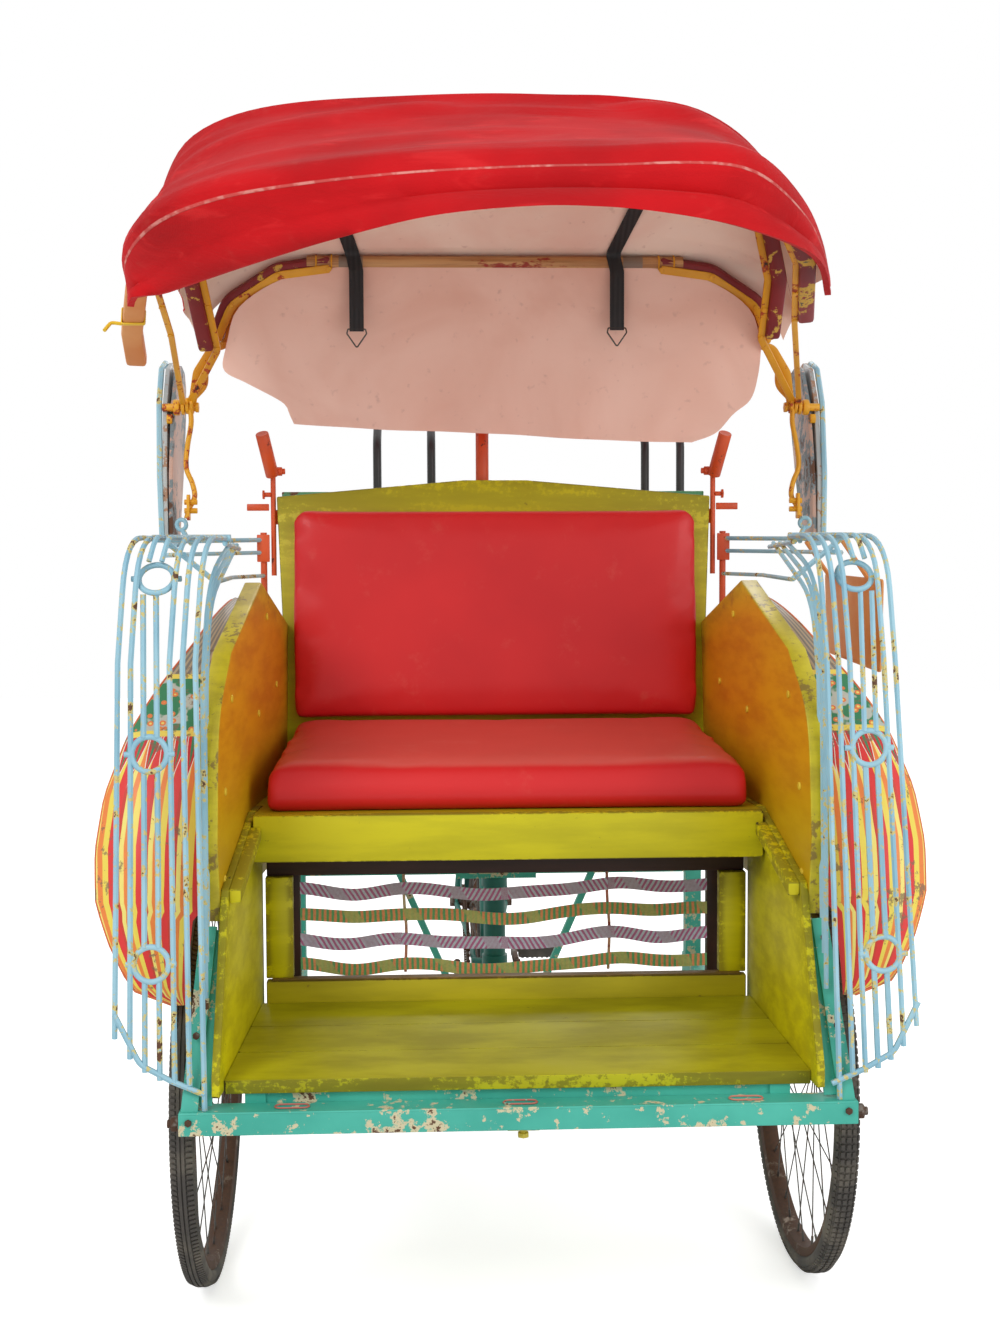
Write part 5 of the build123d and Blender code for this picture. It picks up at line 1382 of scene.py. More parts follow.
SEAT_SECTION = [(-0.122, 0.801), (-0.127, 0.838), (-0.108, 0.870), (0.300, 0.906), (0.349, 0.905), (0.345, 0.801)]
seat = rounded_pad("seat_pad", side_plane(0), SEAT_SECTION, 0.798, 0.024)
for vertex in seat.data.vertices:
    y = vertex.co.y - AXLE_Y
    vertex.co.x *= 1 - 0.036 * (y + 0.124) / 0.480
    vertex.co.x *= 1 - 0.010 * (vertex.co.z - 0.802) / 0.09
inflated(seat, 0.009, 4.0, 0.009)
for vertex in seat.data.vertices:
    vertex.co.z = max(vertex.co.z, 0.8005)
    vertex.co.y = min(vertex.co.y, AXLE_Y + 0.3495)
modify(seat, "SUBSURF", levels=1, render_levels=1)
smooth(seat, 70)
wear(seat, "cab", VINYL, ["seat_cushion"])

BACK_PAD = [(-0.386, 0.122), (0.386, 0.122), (0.391, 0.300), (0.387, 0.512), (0.368, 0.528), (-0.368, 0.528),
            (-0.387, 0.512), (-0.391, 0.300)]
pad = rounded_pad("back_pad", behind(-0.0185), BACK_PAD, 0.036, 0.016)
inflated(pad, 0.009, 4.0, 0.009)
face_point = board_face.translation
for vertex in pad.data.vertices:
    ahead = -(vertex.co - face_point).dot(board_back)
    if ahead < CUSHION_LIFT:
        vertex.co -= board_back * (CUSHION_LIFT - ahead)
modify(pad, "SUBSURF", levels=1, render_levels=1)
smooth(pad, 70)
wear(pad, "cab", VINYL, ["back_cushion"])

# Sockets for poles: bored tubes on uprights, with clamps and bolts


def stood(piece, foot, way):
    """Turns a piece made along X to run another way from a foot."""
    piece.rotation_mode = "QUATERNION"
    piece.rotation_quaternion = Vector((1, 0, 0)).rotation_difference(way)
    piece.location = foot
    return settle(piece)


def tube(name, foot, top, outer, inner, steps=28):
    """A bored tube between two points."""
    long = (top - foot).length
    piece = turned(name, Vector((0, 0, 0)), [
        (0, inner), (0.0008, inner), (long - 0.001, inner), (long, inner + 0.0008), (long, outer - 0.0008),
        (long - 0.001, outer), (0.001, outer), (0, outer - 0.0008)], steps)
    return stood(piece, foot, top - foot)


for label, side in SIDES:
    foot_point, top_point = spot(side * 0.422, 0.404, 1.368), spot(side * 0.437, 0.361, 1.446)
    away = (top_point - foot_point).normalized()
    parts = [
        tube("socket", foot_point + away * 0.002, top_point, 0.0125, 0.0095),
        disc("socket_floor", foot_point + away * 0.004, 0.0100, 0.004, away, 24, 0.0004),
        rod("upright", sided(side, [(0.422, 0.4125, 1.180), (0.422, 0.4125, 1.386)]), 0.0100, sides=12),
        board("tab", front_plane(side * 0.450, 0.4105, 1.310), rect(-0.022, -0.0065, 0.020, 0.0065), 0.0045, 0.0012),
        disc("clamp_boss", spot(side * 0.412, 0.4085, 1.378), 0.0085, 0.016, (1, 0, 0), 18, 0.0015),
        disc("clamp_nut", spot(side * 0.402, 0.4085, 1.378), 0.0062, 0.007, (1, 0, 0), 6),
        disc("side_bolt", spot(side * 0.433, 0.4105, 1.334), 0.0045, 0.014, (1, 0, 0), 14),
        disc("side_nut", spot(side * 0.440, 0.4105, 1.334), 0.0095, 0.004, (1, 0, 0), 6),
        board("strap", behind(0.0225), rect(side * 0.393 - 0.030, 0.500, side * 0.393 + 0.030, 0.528), 0.004, 0.001),
    ]
    wear(join(parts, f"pole_socket_{label}"), "cab", ORANGE, led(side, "pole_sockets"))
    # A dark disc down each side socket stands for the shade inside the tube: painted shadow.
    dark = disc(f"socket_dark_{label}", foot_point + away * 0.050, 0.0085, 0.003, away, 24)
    wear(dark, "cab", SADDLE)
SOCKET_X, SOCKET_Y = -0.022, 0.440
parts = [
    tube("socket", spot(SOCKET_X, SOCKET_Y, 1.290), spot(SOCKET_X, SOCKET_Y, 1.460), 0.0125, 0.0095),
    disc("socket_floor", spot(SOCKET_X, SOCKET_Y, 1.398), 0.0100, 0.004, (0, 0, 1), 24),
    disc("socket_plug", spot(SOCKET_X, SOCKET_Y, 1.292), 0.0100, 0.004, (0, 0, 1), 24),
    board("strap", front_plane(SOCKET_X, 0.4265, 1.310), rect(-0.022, -0.015, 0.022, 0.015), 0.004, 0.001),
]
wear(join(parts, "pole_socket_middle"), "cab", ORANGE)

# Push handle

parts = []
for x in (-0.226, -0.120, 0.302, 0.372):
    way = [spot(x, y, z) for y, z in ((0.424, 1.142), (0.500, 1.200), (0.500, 1.440), (0.606, 1.513))]
    parts.append(rod("upright", way, 0.0165, 0.030, 12))
    parts.append(disc("foot_bolt", spot(x, 0.4225, 1.162), 0.0085, 0.010, (0, 1, 0), 6))
parts.append(rod("grip", [spot(-0.300, 0.620, 1.520), spot(0.430, 0.620, 1.520)], 0.0260, 0, 20))
parts.append(board("cross_strap", front_plane(0.050, 0.418, 1.150), rect(-0.350, -0.015, 0.350, 0.015), 0.012, 0.0015))
wear(join(parts, "push_bar"), "cab", BLACK, ["push_handle"])

# Wheels: halves of the sections as distance from the middle plane and radius

CROWN = 0.3474
TYRE_HALF = [(0, CROWN), (0.008, CROWN - 0.0005), (0.0145, CROWN - 0.0045), (0.0184, CROWN - 0.011),
             (0.0190, CROWN - 0.016), (0.0178, 0.3262), (0.0136, 0.3232), (0.0130, 0.3180)]
# Rows of blocks: x, radius, width, height
TREAD_BLOCKS = [(0, 0.3482, 0.0062, 0.0036), (-0.0088, 0.3472, 0.0056, 0.0040), (0.0088, 0.3472, 0.0056, 0.0040),
                (-0.0152, 0.3415, 0.0045, 0.0044), (0.0152, 0.3415, 0.0045, 0.0044)]
RIM_HALF = [(0.0060, 0.3062), (0.0138, 0.3095), (0.0164, 0.3218), (0.0150, 0.3236), (0.0138, 0.3220),
            (0.0118, 0.3120), (0.0050, 0.3098)]
BORE = 0.0116
HUB_HALF = [(0.0340, BORE), (0.0340, 0.0180), (0.0330, 0.0190), (0.0285, 0.0190), (0.0280, 0.0325), (0.0272, 0.0340),
            (0.0248, 0.0340), (0.0240, 0.0325), (0.0232, 0.0178), (0.0160, 0.0150), (0.0, 0.0146)]
FREEWHEEL = [(-0.0340, BORE), (-0.0340, 0.0235), (-0.0430, 0.0235), (-0.0445, 0.0200), (-0.0445, BORE)]
SPROCKET_REACH = (0.0360, 0.0345, 0.0318, 0.0345)
CHAIN_X = -0.044


def tyre(name, centre, blocks):
    """A balloon tyre: a ribbed tread with shoulder bars, or rows of square blocks."""
    parts = [turned(name, centre, [*[(-x, r) for x, r in TYRE_HALF[:0:-1]], *TYRE_HALF], 96)]
    if blocks:
        for x, r, wide, deep in TREAD_BLOCKS:
            tilt = 0 if abs(x) < 0.012 else (0.75 if x > 0 else -0.75)
            place = Matrix.Translation(centre + Vector((x, 0, r))) @ Matrix.Rotation(tilt, 4, "Y")
            block = line_on(place, rect(-wide / 2, -0.0042, wide / 2, 0.0042), True, deep, "BOTH")
            parts.append(around(merged(settle(block, "tread_block")), centre, (1, 0, 0), 180))
        return join(parts, name)
    for x in (-0.0034, 0.0034):
        parts.append(turned("tread_rib", centre, [
            (x - 0.0026, CROWN - 0.001), (x - 0.0022, AXLE_Z), (x + 0.0022, AXLE_Z), (x + 0.0026, CROWN - 0.001)], 96))
    for x in (-0.0118, 0.0118):
        tilt = 0.42 if x > 0 else -0.42
        place = Matrix.Translation(centre + Vector((x, 0, 0.3455))) @ Matrix.Rotation(tilt, 4, "Y")
        bar = line_on(place, [(-0.0052, -0.0026), (0.0052, -0.0032), (0.0052, 0.0020), (-0.0052, 0.0026)], True,
                      0.0040, "BOTH")
        parts.append(around(merged(settle(bar, "tread_bar")), centre, (1, 0, 0), 240))
    return join(parts, name)


def wheel(name, x, y, blocks):
    """One wheel: tyre, rim, crossed spokes with nipples, and hub."""
    centre = spot(x, y, AXLE_Z)
    body = "wheel_" + name
    wear(tyre("tyre_" + name + "_tread", centre, blocks), body, RUBBER, ["tyre_" + name])
    rim = turned("rim_" + name + "_steel", centre, [*RIM_HALF, *[(-x, r) for x, r in RIM_HALF[::-1]]], 96)
    wear(rim, body, RIM, ["rim_" + name])
    strands = []
    for number in range(4):
        side = 1 if number % 2 else -1
        turn = 1 if number < 2 else -1
        radial = radians(10.0 * number)
        hub_angle = radial + turn * radians(30.0)
        foot_x = side * (0.026 + turn * 0.0036)
        foot_at = centre + Vector((foot_x, 0.031 * cos(hub_angle), 0.031 * sin(hub_angle)))
        tip = centre + Vector((side * 0.0015, 0.3058 * cos(radial), 0.3058 * sin(radial)))
        strands.append(rod("spoke", [foot_at, tip], 0.0022, 0, 6))
        along = (tip - foot_at).normalized()
        strands.append(rod("nipple", [tip - along * 0.014, tip], 0.0042, 0, 8))
        strands.append(rod("spoke_head", [foot_at, foot_at - Vector((side * turn * 0.0055, 0, 0))], 0.0026, 0, 6))
    around(join(strands, "spokes_" + name + "_wire"), centre, (1, 0, 0), 9)
    wear(bpy.context.object, body, SPOKE, ["spokes_" + name])
    hub = [turned("hub", centre, [*HUB_HALF, *[(-x, r) for x, r in HUB_HALF[-2::-1]]], 40)]
    if name == "rear":
        hub.append(turned("freewheel", centre, FREEWHEEL, 40))
        teeth = []
        for number in range(72):
            reach, angle = SPROCKET_REACH[number % 4], 2 * pi * number / 72
            teeth.append((reach * cos(angle), reach * sin(angle)))
        middle = centre + Vector((CHAIN_X, 0, 0))
        sprocket = board("sprocket", plane_at(middle, (0, 1, 0), (0, 0, 1)), teeth, 0.0030, 0.0004)
        hub.append(bored(sprocket, middle, 0.0200, 32))
    wear(join(hub, "hub_" + name + "_shell"), body, RUSTY, ["hub_" + name])


wheel("left", -TRACK_X, 0.0, False)
wheel("right", TRACK_X, 0.0, True)
wheel("rear", 0.0, REAR_Y, False)


# Nodes that stay as they are, in their own paint

for node, finish in (("front_sill", TEAL), ("chassis", TEAL), ("front_axle", RUSTY), ("leaf_springs", RUSTY),
                     ("king_pin", RUSTY), ("rear_axle", RUSTY)):
    NODES[node].data.materials.clear()
    NODES[node].data.materials.append(finish)

# The front sill's rolled edges, long-hole rims, end bolts and small bracket

SILL_HALF, SILL_Y = 0.489, -0.430
parts = []
for name, y, z, size in (("sill_lip", -0.4475, 0.3875, 0.0055), ("sill_nose", -0.4485, 0.4172, 0.0042)):
    parts.append(rod(name, [spot(-SILL_HALF, y, z), spot(SILL_HALF, y, z)], size, sides=10))
wear(join(parts, "sill_edges"), "cab", TEAL)
rims = []
SLOT_HALF, SLOT_R = 0.016, 0.0085
slot_turns = [(1, radians(d)) for d in range(-90, 91, 20)] + [(-1, radians(d)) for d in range(90, 271, 20)]
for x in (-0.330, 0, 0.330):
    ring = [spot(x + SLOT_HALF * end + SLOT_R * cos(t), -0.426 + SLOT_R * sin(t), 0.4192) for end, t in slot_turns]
    rims.append(rod("slot_rim", [*ring, ring[0]], 0.0030, sides=6))
bolts = []
for label, side in SIDES:
    for name, x, radius, long, sides, edge in (
            ("sill_washer", 0.4905, 0.0165, 0.003, 24, 0.0008), ("sill_bolt", 0.4970, 0.0115, 0.012, 6, 0.0015),
            ("sill_stud", 0.5045, 0.0062, 0.008, 14, 0.0008)):
        bolts.append(disc(name, spot(side * x, SILL_Y, 0.398), radius, long, sides=sides, edge=edge))
wear(join(bolts, "sill_bolts"), "cab", RUSTY)
slot_paint = chipped("slot_paint", tint(206, 130, 110), tint(178, 96, 84), tint(150, 170, 150), 0.4, 90.0)
wear(join(rims, "slot_rims"), "cab", slot_paint)
parts = [
    board("bracket_plate", level_plane(0.004, SILL_Y, 0.3835), rect(-0.024, -0.010, 0.024, 0.018), 0.005, 0.0015),
    disc("bracket_bolt", spot(0.004, -0.427, 0.3775), 0.0050, 0.016, (0, 0, 1), 16),
    disc("bracket_nut", spot(0.004, -0.427, 0.3715), 0.0088, 0.007, (0, 0, 1), 6),
]
bracket_paint = chipped("bracket_paint", tint(206, 190, 60), tint(186, 168, 50), tint(120, 90, 50), 0.3, 110.0)
wear(join(parts, "sill_bracket"), "cab", bracket_paint)

# The corner posts' bolts and webs: the posts lean back over their height

POST_FOOT_Z, POST_RISE, POST_BACK = 0.418, 0.246, 0.098
parts = []
for label, side in SIDES:
    for z in (0.405, 0.520, 0.640):
        up = max(0.0, (z - POST_FOOT_Z) / POST_RISE)
        place = spot(side * (0.476 - 0.019 * up), -0.436 + POST_BACK * up - 0.015, z)
        parts.append(disc("post_bolt", place, 0.0055, 0.006, (0, -1, 0), 6))
wear(join(parts, "post_bolts"), "cab", RUSTY)
slope = plane_at(spot(0, -0.4290, POST_FOOT_Z), (1, 0, 0), (0, POST_BACK, POST_RISE))
LEG = [(0.4445, 0.004), (0.4660, 0.004), (0.4475, 0.258), (0.4395, 0.258)]
for label, side in SIDES:
    web = board(f"post_web_{label}", slope, [(side * x, z) for x, z in (LEG if side > 0 else LEG[::-1])], 0.005, 0.0012)
    wear(web, "cab", TEAL)

# Rear frame: round tubes, lugs, dropouts and the ringed steering head

PIN_Y, CRANK_Y, CRANK_Z, SEAT_Y, SEAT_Z, CRANK_LENGTH = 0.500, 0.930, 0.290, 1.080, 0.850, 0.170
HEAD_LOW_Z, HEAD_R = 0.346, 0.0215
head_profile = [(0.0, 0.0116), (0.240, 0.0116), (0.240, 0.0200), (0.2385, HEAD_R)]
for middle, reach in ((0.222, 0.0255), (0.150, 0.0250), (0.066, 0.0255), (0.012, 0.0252)):
    head_profile += [(middle + 0.010, HEAD_R), (middle + 0.0085, reach), (middle - 0.0085, reach),
                     (middle - 0.010, HEAD_R)]
head_profile += [(0.0, HEAD_R)]
steering_head = turned("steering_head", Vector((0, 0, 0)), head_profile, 40)
parts = [stood(steering_head, spot(0, PIN_Y, HEAD_LOW_Z), Vector((0, 0, 1)))]
parts.append(rod("lower_tube", [spot(0, PIN_Y + 0.022, 0.372), spot(0, CRANK_Y - 0.012, CRANK_Z)], 0.038, sides=20))
parts.append(rod("upper_tube", [spot(0, PIN_Y + 0.022, 0.538), spot(0, SEAT_Y - 0.010, SEAT_Z - 0.031)], 0.032,
                 sides=20))
parts.append(rod("seat_tube", [spot(0, CRANK_Y + 0.004, CRANK_Z + 0.012), spot(0, SEAT_Y, SEAT_Z)], 0.031, sides=20))
parts.append(tube("crank_shell", spot(-0.035, CRANK_Y, CRANK_Z), spot(0.035, CRANK_Y, CRANK_Z), 0.0218, 0.0106))
parts.append(disc("seat_lug", spot(0, SEAT_Y - 0.0004, SEAT_Z - 0.006), 0.0185, 0.024,
                  (0, 0.058, 1.066 - SEAT_Z), 24, 0.002))
for side in (-1, 1):
    drop = spot(side * 0.062, REAR_Y, AXLE_Z)
    chain_stay = [(0.018, CRANK_Y + 0.014, CRANK_Z), (0.0308, CRANK_Y + 0.080, CRANK_Z + 0.008),
                  (0.0308, CRANK_Y + 0.140, CRANK_Z + 0.018), (0.061, REAR_Y - 0.020, AXLE_Z - 0.001)]
    parts.append(rod("chain_stay", sided(side, chain_stay), 0.0128, 0.020, 14))
    seat_stay = [(0.014, SEAT_Y - 0.004, SEAT_Z - 0.010), (0.034, SEAT_Y + 0.060, 0.740),
                 (0.061, REAR_Y - 0.010, AXLE_Z + 0.018)]
    parts.append(rod("seat_stay", sided(side, seat_stay), 0.0145, 0.030, 14))
    parts.append(tube("dropout", drop - Vector((0.0038, 0, 0)), drop + Vector((0.0038, 0, 0)), 0.0200, 0.0131))
wear(join(parts, "rear_frame_tubes"), "rear_frame", GREEN, ["rear_frame"])
post = rod("seat_post", [spot(0, SEAT_Y + 0.0008, SEAT_Z + 0.003), spot(0, SEAT_Y + 0.0575, 1.0650)], 0.0255, 0, 20)
post_clamp = disc("seat_clamp", spot(0, SEAT_Y + 0.0555, 1.056), 0.0180, 0.016, (1, 0, 0), 24, 0.002)
wear(join([post, post_clamp], "seat_post"), "rear_frame", RUSTY)

# Rear fender: a rolled gutter with its stays


def gutter_point(u, v):
    """A place across the rear fender and along it."""
    angle = radians(-12 + 158 * v)
    across = (u - 0.5) * 0.064
    drop = 0.0125 * max(0.0, (abs(across) - 0.006) / 0.026) ** 2.2
    reach = 0.3690 - drop
    return spot(across, REAR_Y + reach * cos(angle), AXLE_Z + reach * sin(angle))


gutter = surface("rear_fender_sheet", 14, 64, gutter_point)
modify(gutter, "SOLIDIFY", thickness=0.0016, offset=0)
parts = [smooth(gutter, 50)]
STAY_WAY_Y, STAY_WAY_Z = cos(radians(12)), sin(radians(12))
for side in (-1, 1):
    parts.append(rod("gutter_bead", [gutter_point(0.5 + side * 0.5, t / 30) for t in range(31)], 0.0034, sides=8))
    parts.append(rod("fender_stay", sided(side, [
        (0.0305, REAR_Y + 0.358 * STAY_WAY_Y, AXLE_Z + 0.358 * STAY_WAY_Z),
        (0.054, REAR_Y + 0.018, AXLE_Z + 0.004)]), 0.0050, sides=10))
    bolt = spot(side * 0.0330, REAR_Y + 0.354 * STAY_WAY_Y, AXLE_Z + 0.354 * STAY_WAY_Z)
    parts.append(disc("stay_bolt", bolt, 0.0050, 0.005, sides=6))
wear(join(parts, "rear_fender_steel"), "rear_frame", GREEN, ["rear_fender"])

# Saddle: a leather top swollen over its rails

SADDLE_HALF = [(0.014, 0.989), (0.020, 1.060), (0.030, 1.110), (0.060, 1.160), (0.088, 1.200), (0.086, 1.262)]
saddle_outline = [(-0.014, 0.989), *SADDLE_HALF, *[(-x, y) for x, y in SADDLE_HALF[:0:-1]]]
top = rounded_pad("saddle_top", level_plane(0, 0, 1.0965), saddle_outline, 0.028, 0.018)
inflated(top, 0.006, 3.0, 0.005)
for vertex in top.data.vertices:
    y = vertex.co.y - AXLE_Y
    vertex.co.z += -0.007 * max(0.0, 1 - abs(y - 1.10) / 0.09)
modify(top, "SUBSURF", levels=1, render_levels=1)
smooth(top, 70)
wear(top, "rear_frame", SADDLE, ["saddle"])
SADDLE_RAIL = [(0.010, 1.010, 1.0800), (0.020, 1.060, 1.0745), (0.030, 1.140, 1.0735), (0.058, 1.225, 1.0745)]
parts = [rod("saddle_rail", sided(side, SADDLE_RAIL), 0.0060, 0.030, 10) for side in (-1, 1)]
wear(join(parts, "saddle_rails"), "rear_frame", RUSTY)

# Crankset: toothed ring on five arms, cranks and their pins


def toothed(count, reach, depth):
    """A ring's outline, with its teeth."""
    steps = (0.0, 0.35, 1.0, 0.35)
    points = []
    for number in range(count * 4):
        radius, angle = reach - depth * steps[number % 4], 2 * pi * number / (count * 4)
        points.append((radius * cos(angle), radius * sin(angle)))
    return points


ring_centre = spot(CHAIN_X, CRANK_Y, CRANK_Z)
ring_place = side_plane(CHAIN_X, CRANK_Y, CRANK_Z)
ring = bored(board("ring", ring_place, toothed(45, 0.0918, 0.0042), 0.0030, 0.0004), ring_centre, 0.0720, 64)
arm = ribbon("ring_arm", ring_place, [(0.016, 0), (0.076, 0)], 0.012, 0.0030, 0, 0.0006)
around(arm, ring_centre, (1, 0, 0), 5)
parts = [ring, arm, rod("crank_axle", [spot(x, CRANK_Y, CRANK_Z) for x in (-0.074, 0.074)], 0.0180, 0, 20),
         disc("ring_boss", ring_centre, 0.0210, 0.006, sides=32)]
for side in (-1, 1):
    hub_point = spot(side * 0.068, CRANK_Y, CRANK_Z)
    end_point = hub_point + Vector((0, side * CRANK_LENGTH, 0))
    place = plane_at(hub_point, (0, side, 0), (0, 0, 1))
    parts.append(board("crank_arm", place, [
        (0.006, -0.0108), (CRANK_LENGTH - 0.006, -0.0085), (CRANK_LENGTH - 0.006, 0.0085), (0.006, 0.0108)],
        0.0115, 0.0022))
    parts.append(disc("crank_boss", hub_point, 0.0178, 0.0140, sides=32, edge=0.002))
    parts.append(disc("crank_eye", end_point, 0.0138, 0.0120, sides=28, edge=0.002))
    parts.append(disc("cotter", hub_point + Vector((0, side * 0.004, 0)), 0.0042, 0.0400, (0, 0.2, 1), 12))
    parts.append(rod("pedal_pin", [end_point + Vector((side * x, 0, 0)) for x in (0.005, 0.088)], 0.0118, 0, 16))
wear(join(parts, "crankset_steel"), "crank", RUSTY, ["crankset"])

for label, side in SIDES:
    centre = spot(side * 0.122, CRANK_Y + side * CRANK_LENGTH, CRANK_Z)
    parts = []
    for edge in (-1, 1):
        place = plane_at(centre + Vector((0, edge * 0.030, 0)), (1, 0, 0), (0, 0, 1))
        parts.append(board("pedal_block", place, rect(-0.044, -0.0105, 0.044, 0.0105), 0.0190, 0.0035))
        for step in range(7):
            x = -0.0345 + 0.0115 * step
            for up in (-1, 1):
                place = plane_at(centre + Vector((x, edge * 0.030, up * 0.0108)), (1, 0, 0), (0, 1, 0))
                parts.append(board("pedal_grip", place, rect(-0.0030, -0.0085, 0.0030, 0.0085), 0.0022, 0.0006))
    wear(join(parts, f"pedal_rubbers_{label}"), "pedal_" + label, RUBBER, ["pedal_" + label])
    parts = [tube("pedal_barrel", centre - Vector((0.033, 0, 0)), centre + Vector((0.033, 0, 0)), 0.0108, 0.0066, 24)]
    for end in (-0.036, 0.036):
        for edge in (-1, 1):
            place = plane_at(centre + Vector((end, 0, 0)), (0, edge, 0), (0, 0, 1))
            parts.append(board("pedal_end", place, rect(0.009, -0.0068, 0.0208, 0.0068), 0.0060, 0.0012))
    wear(join(parts, f"pedal_frame_{label}"), "pedal_" + label, RUSTY)

# Chain: links on the loop round the ring and the sprocket

CHAIN_PITCH, RING_R, SPROCKET_R = 0.0127, 0.0965, 0.0405
span, climb = REAR_Y - CRANK_Y, AXLE_Z - CRANK_Z
base = atan2(climb, span)
spread = asin((0.092 - 0.036) / sqrt(span ** 2 + climb ** 2))
ways = []
for steps, y, z, radius, start, turn in (
        (32, CRANK_Y, CRANK_Z, RING_R, base + pi / 2 - spread, pi + 2 * spread),
        (16, REAR_Y, AXLE_Z, SPROCKET_R, base - pi / 2 + spread, pi - 2 * spread)):
    for number in range(steps + 1):
        angle = start + turn * number / steps
        ways.append((y + radius * cos(angle), z + radius * sin(angle)))
ways.append(ways[0])
lengths = [0.0]
for a, b in zip(ways, ways[1:]):
    lengths.append(lengths[-1] + sqrt((a[0] - b[0]) ** 2 + (a[1] - b[1]) ** 2))
links = round(lengths[-1] / CHAIN_PITCH / 2) * 2


def chain_point(share):
    """A point at a share of the way round the loop."""
    goal = (share % 1.0) * lengths[-1]
    place = max(n for n in range(len(ways) - 1) if lengths[n] <= goal + 1e-12)
    t = (goal - lengths[place]) / max(lengths[place + 1] - lengths[place], 1e-9)
    (y0, z0), (y1, z1) = ways[place], ways[place + 1]
    return y0 + (y1 - y0) * t, z0 + (z1 - z0) * t


def chain_link(wide):
    """Two side plates and a roller, at the origin and along Y."""
    flat = plane_at(Vector((0, 0, 0)), (0, 1, 0), (0, 0, 1))
    half = CHAIN_PITCH / 2
    outline = [(-half - 0.0028, -0.0022), (-half, -0.0036), (0, -0.0024), (half, -0.0036), (half + 0.0028, -0.0022),
               (half + 0.0028, 0.0022), (half, 0.0036), (0, 0.0024), (-half, 0.0036), (-half - 0.0028, 0.0022)]
    parts = []
    for side in (-1, 1):
        place = Matrix.Translation((side * wide, 0, 0)) @ flat
        parts.append(merged(settle(line_on(place, outline, True, 0.0008, "BOTH"), "plate")))
    parts.append(rod("roller", [(-wide, half, 0), (wide, half, 0)], 0.0056, 0, 8))
    return join(parts, "chain_link")


patterns = [chain_link(0.0032), chain_link(0.0022)]
parts = []
for number in range(links):
    a, b = chain_point(number / links), chain_point((number + 1) / links)
    twin = patterns[number % 2].copy()
    twin.data = patterns[number % 2].data.copy()
    bpy.context.scene.collection.objects.link(twin)
    twin.data.transform(Matrix.Translation(spot(CHAIN_X, (a[0] + b[0]) / 2, (a[1] + b[1]) / 2))
                        @ Matrix.Rotation(atan2(b[1] - a[1], b[0] - a[0]), 4, "X"))
    parts.append(twin)
for pattern in patterns:
    bpy.data.objects.remove(pattern)
wear(join(parts, "chain_links"), "rear_frame", RUSTY, ["chain"])


# Camera: at the height of the back cushion, a little left of the middle
CAMERA_PLACE = Vector((-0.130, AXLE_Y - 2.811, 1.196))
CAMERA_YAW = radians(2.48)
CAMERA_PITCH = radians(-3.43)
CAMERA_ROLL = radians(-0.26)
CAMERA_LENS = 45.2


def add_camera():
    """The photograph's view."""
    ahead = Vector((sin(CAMERA_YAW), cos(CAMERA_YAW), 0))
    right = Vector((cos(CAMERA_YAW), -sin(CAMERA_YAW), 0))
    up = Vector((0, 0, 1))
    look = ahead * cos(CAMERA_PITCH) + up * sin(CAMERA_PITCH)
    head = up * cos(CAMERA_PITCH) - ahead * sin(CAMERA_PITCH)
    side = right * cos(CAMERA_ROLL) + head * sin(CAMERA_ROLL)
    head = head * cos(CAMERA_ROLL) - right * sin(CAMERA_ROLL)
    camera_data = bpy.data.cameras.new("camera")
    camera_data.lens = CAMERA_LENS
    camera_data.sensor_width = 36.0
    camera = bpy.data.objects.new("camera", camera_data)
    bpy.context.scene.collection.objects.link(camera)
    turn = Matrix((side, head, -look)).transposed().to_4x4()
    camera.matrix_world = Matrix.Translation(CAMERA_PLACE) @ turn
    bpy.context.scene.camera = camera


def emptied(tree):
    """Empties a node tree, and returns what adds its nodes and links."""
    tree.nodes.clear()
    return tree.nodes.new, tree.links.new


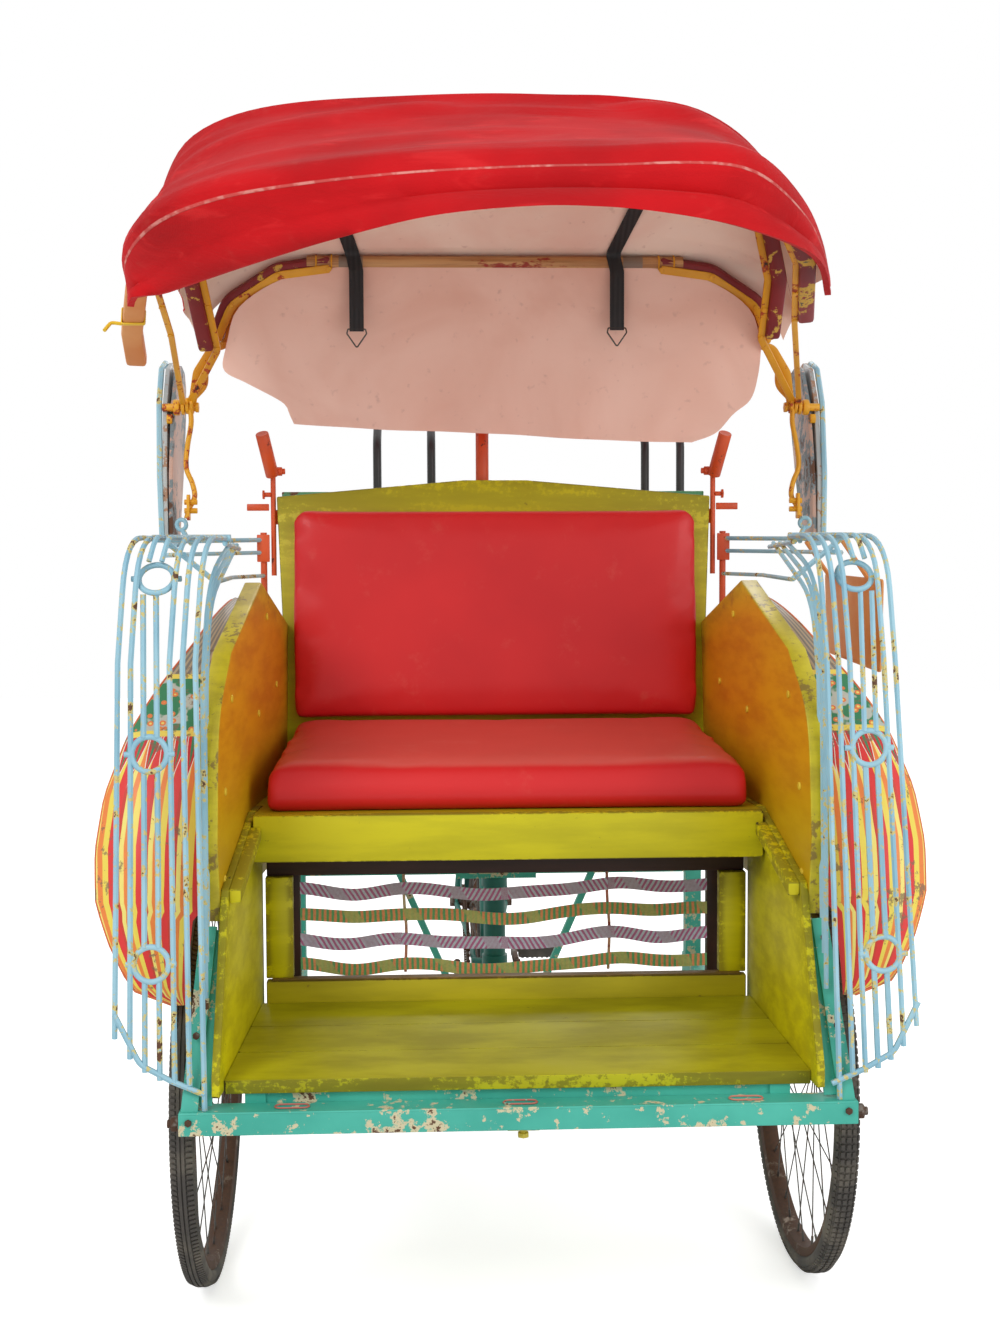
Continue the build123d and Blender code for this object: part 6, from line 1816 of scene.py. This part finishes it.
def add_stage():
    """A plain pale floor, seen as white, and a white world."""
    deselect()
    bpy.ops.mesh.primitive_plane_add(size=24, location=(0, 0, 0))
    floor = settle(bpy.context.object, "floor")
    material = bpy.data.materials.new("floor")
    material.use_nodes = True
    made, link = emptied(material.node_tree)
    diffuse, glow, both, pick, rays, out = [made("ShaderNode" + kind) for kind in (
        "BsdfDiffuse", "Emission", "AddShader", "MixShader", "LightPath", "OutputMaterial")]
    diffuse.inputs["Color"].default_value = (0.86, 0.86, 0.86, 1)
    glow.inputs["Strength"].default_value = 0.55
    for source, target in (
            (diffuse.outputs[0], both.inputs[0]), (glow.outputs[0], both.inputs[1]),
            (rays.outputs["Is Camera Ray"], pick.inputs[0]), (diffuse.outputs[0], pick.inputs[1]),
            (both.outputs[0], pick.inputs[2]), (pick.outputs[0], out.inputs["Surface"])):
        link(source, target)
    floor.data.materials.append(material)

    world = bpy.data.worlds.new("studio")
    bpy.context.scene.world = world
    world.use_nodes = True
    made, link = emptied(world.node_tree)
    rays, seen, seen_through, dim, white, pick, out = [made("ShaderNode" + kind) for kind in (
        "LightPath", "Math", "Math", "Background", "Background", "MixShader", "OutputWorld")]
    seen.operation = seen_through.operation = "MAXIMUM"
    for background, strength in ((dim, 0.68), (white, 1.0)):
        background.inputs["Color"].default_value = (1, 1, 1, 1)
        background.inputs["Strength"].default_value = strength
    for source, target in (
            (rays.outputs["Is Camera Ray"], seen.inputs[0]), (rays.outputs["Is Glossy Ray"], seen.inputs[1]),
            (seen.outputs[0], seen_through.inputs[0]),
            (rays.outputs["Is Transmission Ray"], seen_through.inputs[1]),
            (seen_through.outputs[0], pick.inputs[0]), (dim.outputs[0], pick.inputs[1]),
            (white.outputs[0], pick.inputs[2]), (pick.outputs[0], out.inputs["Surface"])):
        link(source, target)


# Lamps: name, place, aim, size, power
LAMPS = [
    ("key", (-2.6, -4.2, 3.9), (0, -0.3, 0.9), 1.8, 82),
    ("fill", (3.2, -3.8, 2.2), (0, -0.3, 0.9), 2.6, 56),
    ("back", (0.5, 3.8, 3.4), (0, 0.2, 1.0), 2.2, 60),
]


def add_lamps():
    """Soft studio lamps."""
    for name, place, aim, size, power in LAMPS:
        data = bpy.data.lights.new(name, "AREA")
        data.size = size
        data.energy = power
        lamp = bpy.data.objects.new(name, data)
        bpy.context.scene.collection.objects.link(lamp)
        lamp.location = place
        lamp.rotation_mode = "QUATERNION"
        lamp.rotation_quaternion = (Vector(aim) - Vector(place)).to_track_quat("-Z", "Y")


add_camera()
add_stage()
add_lamps()
bpy.context.scene.view_settings.view_transform = "Standard"
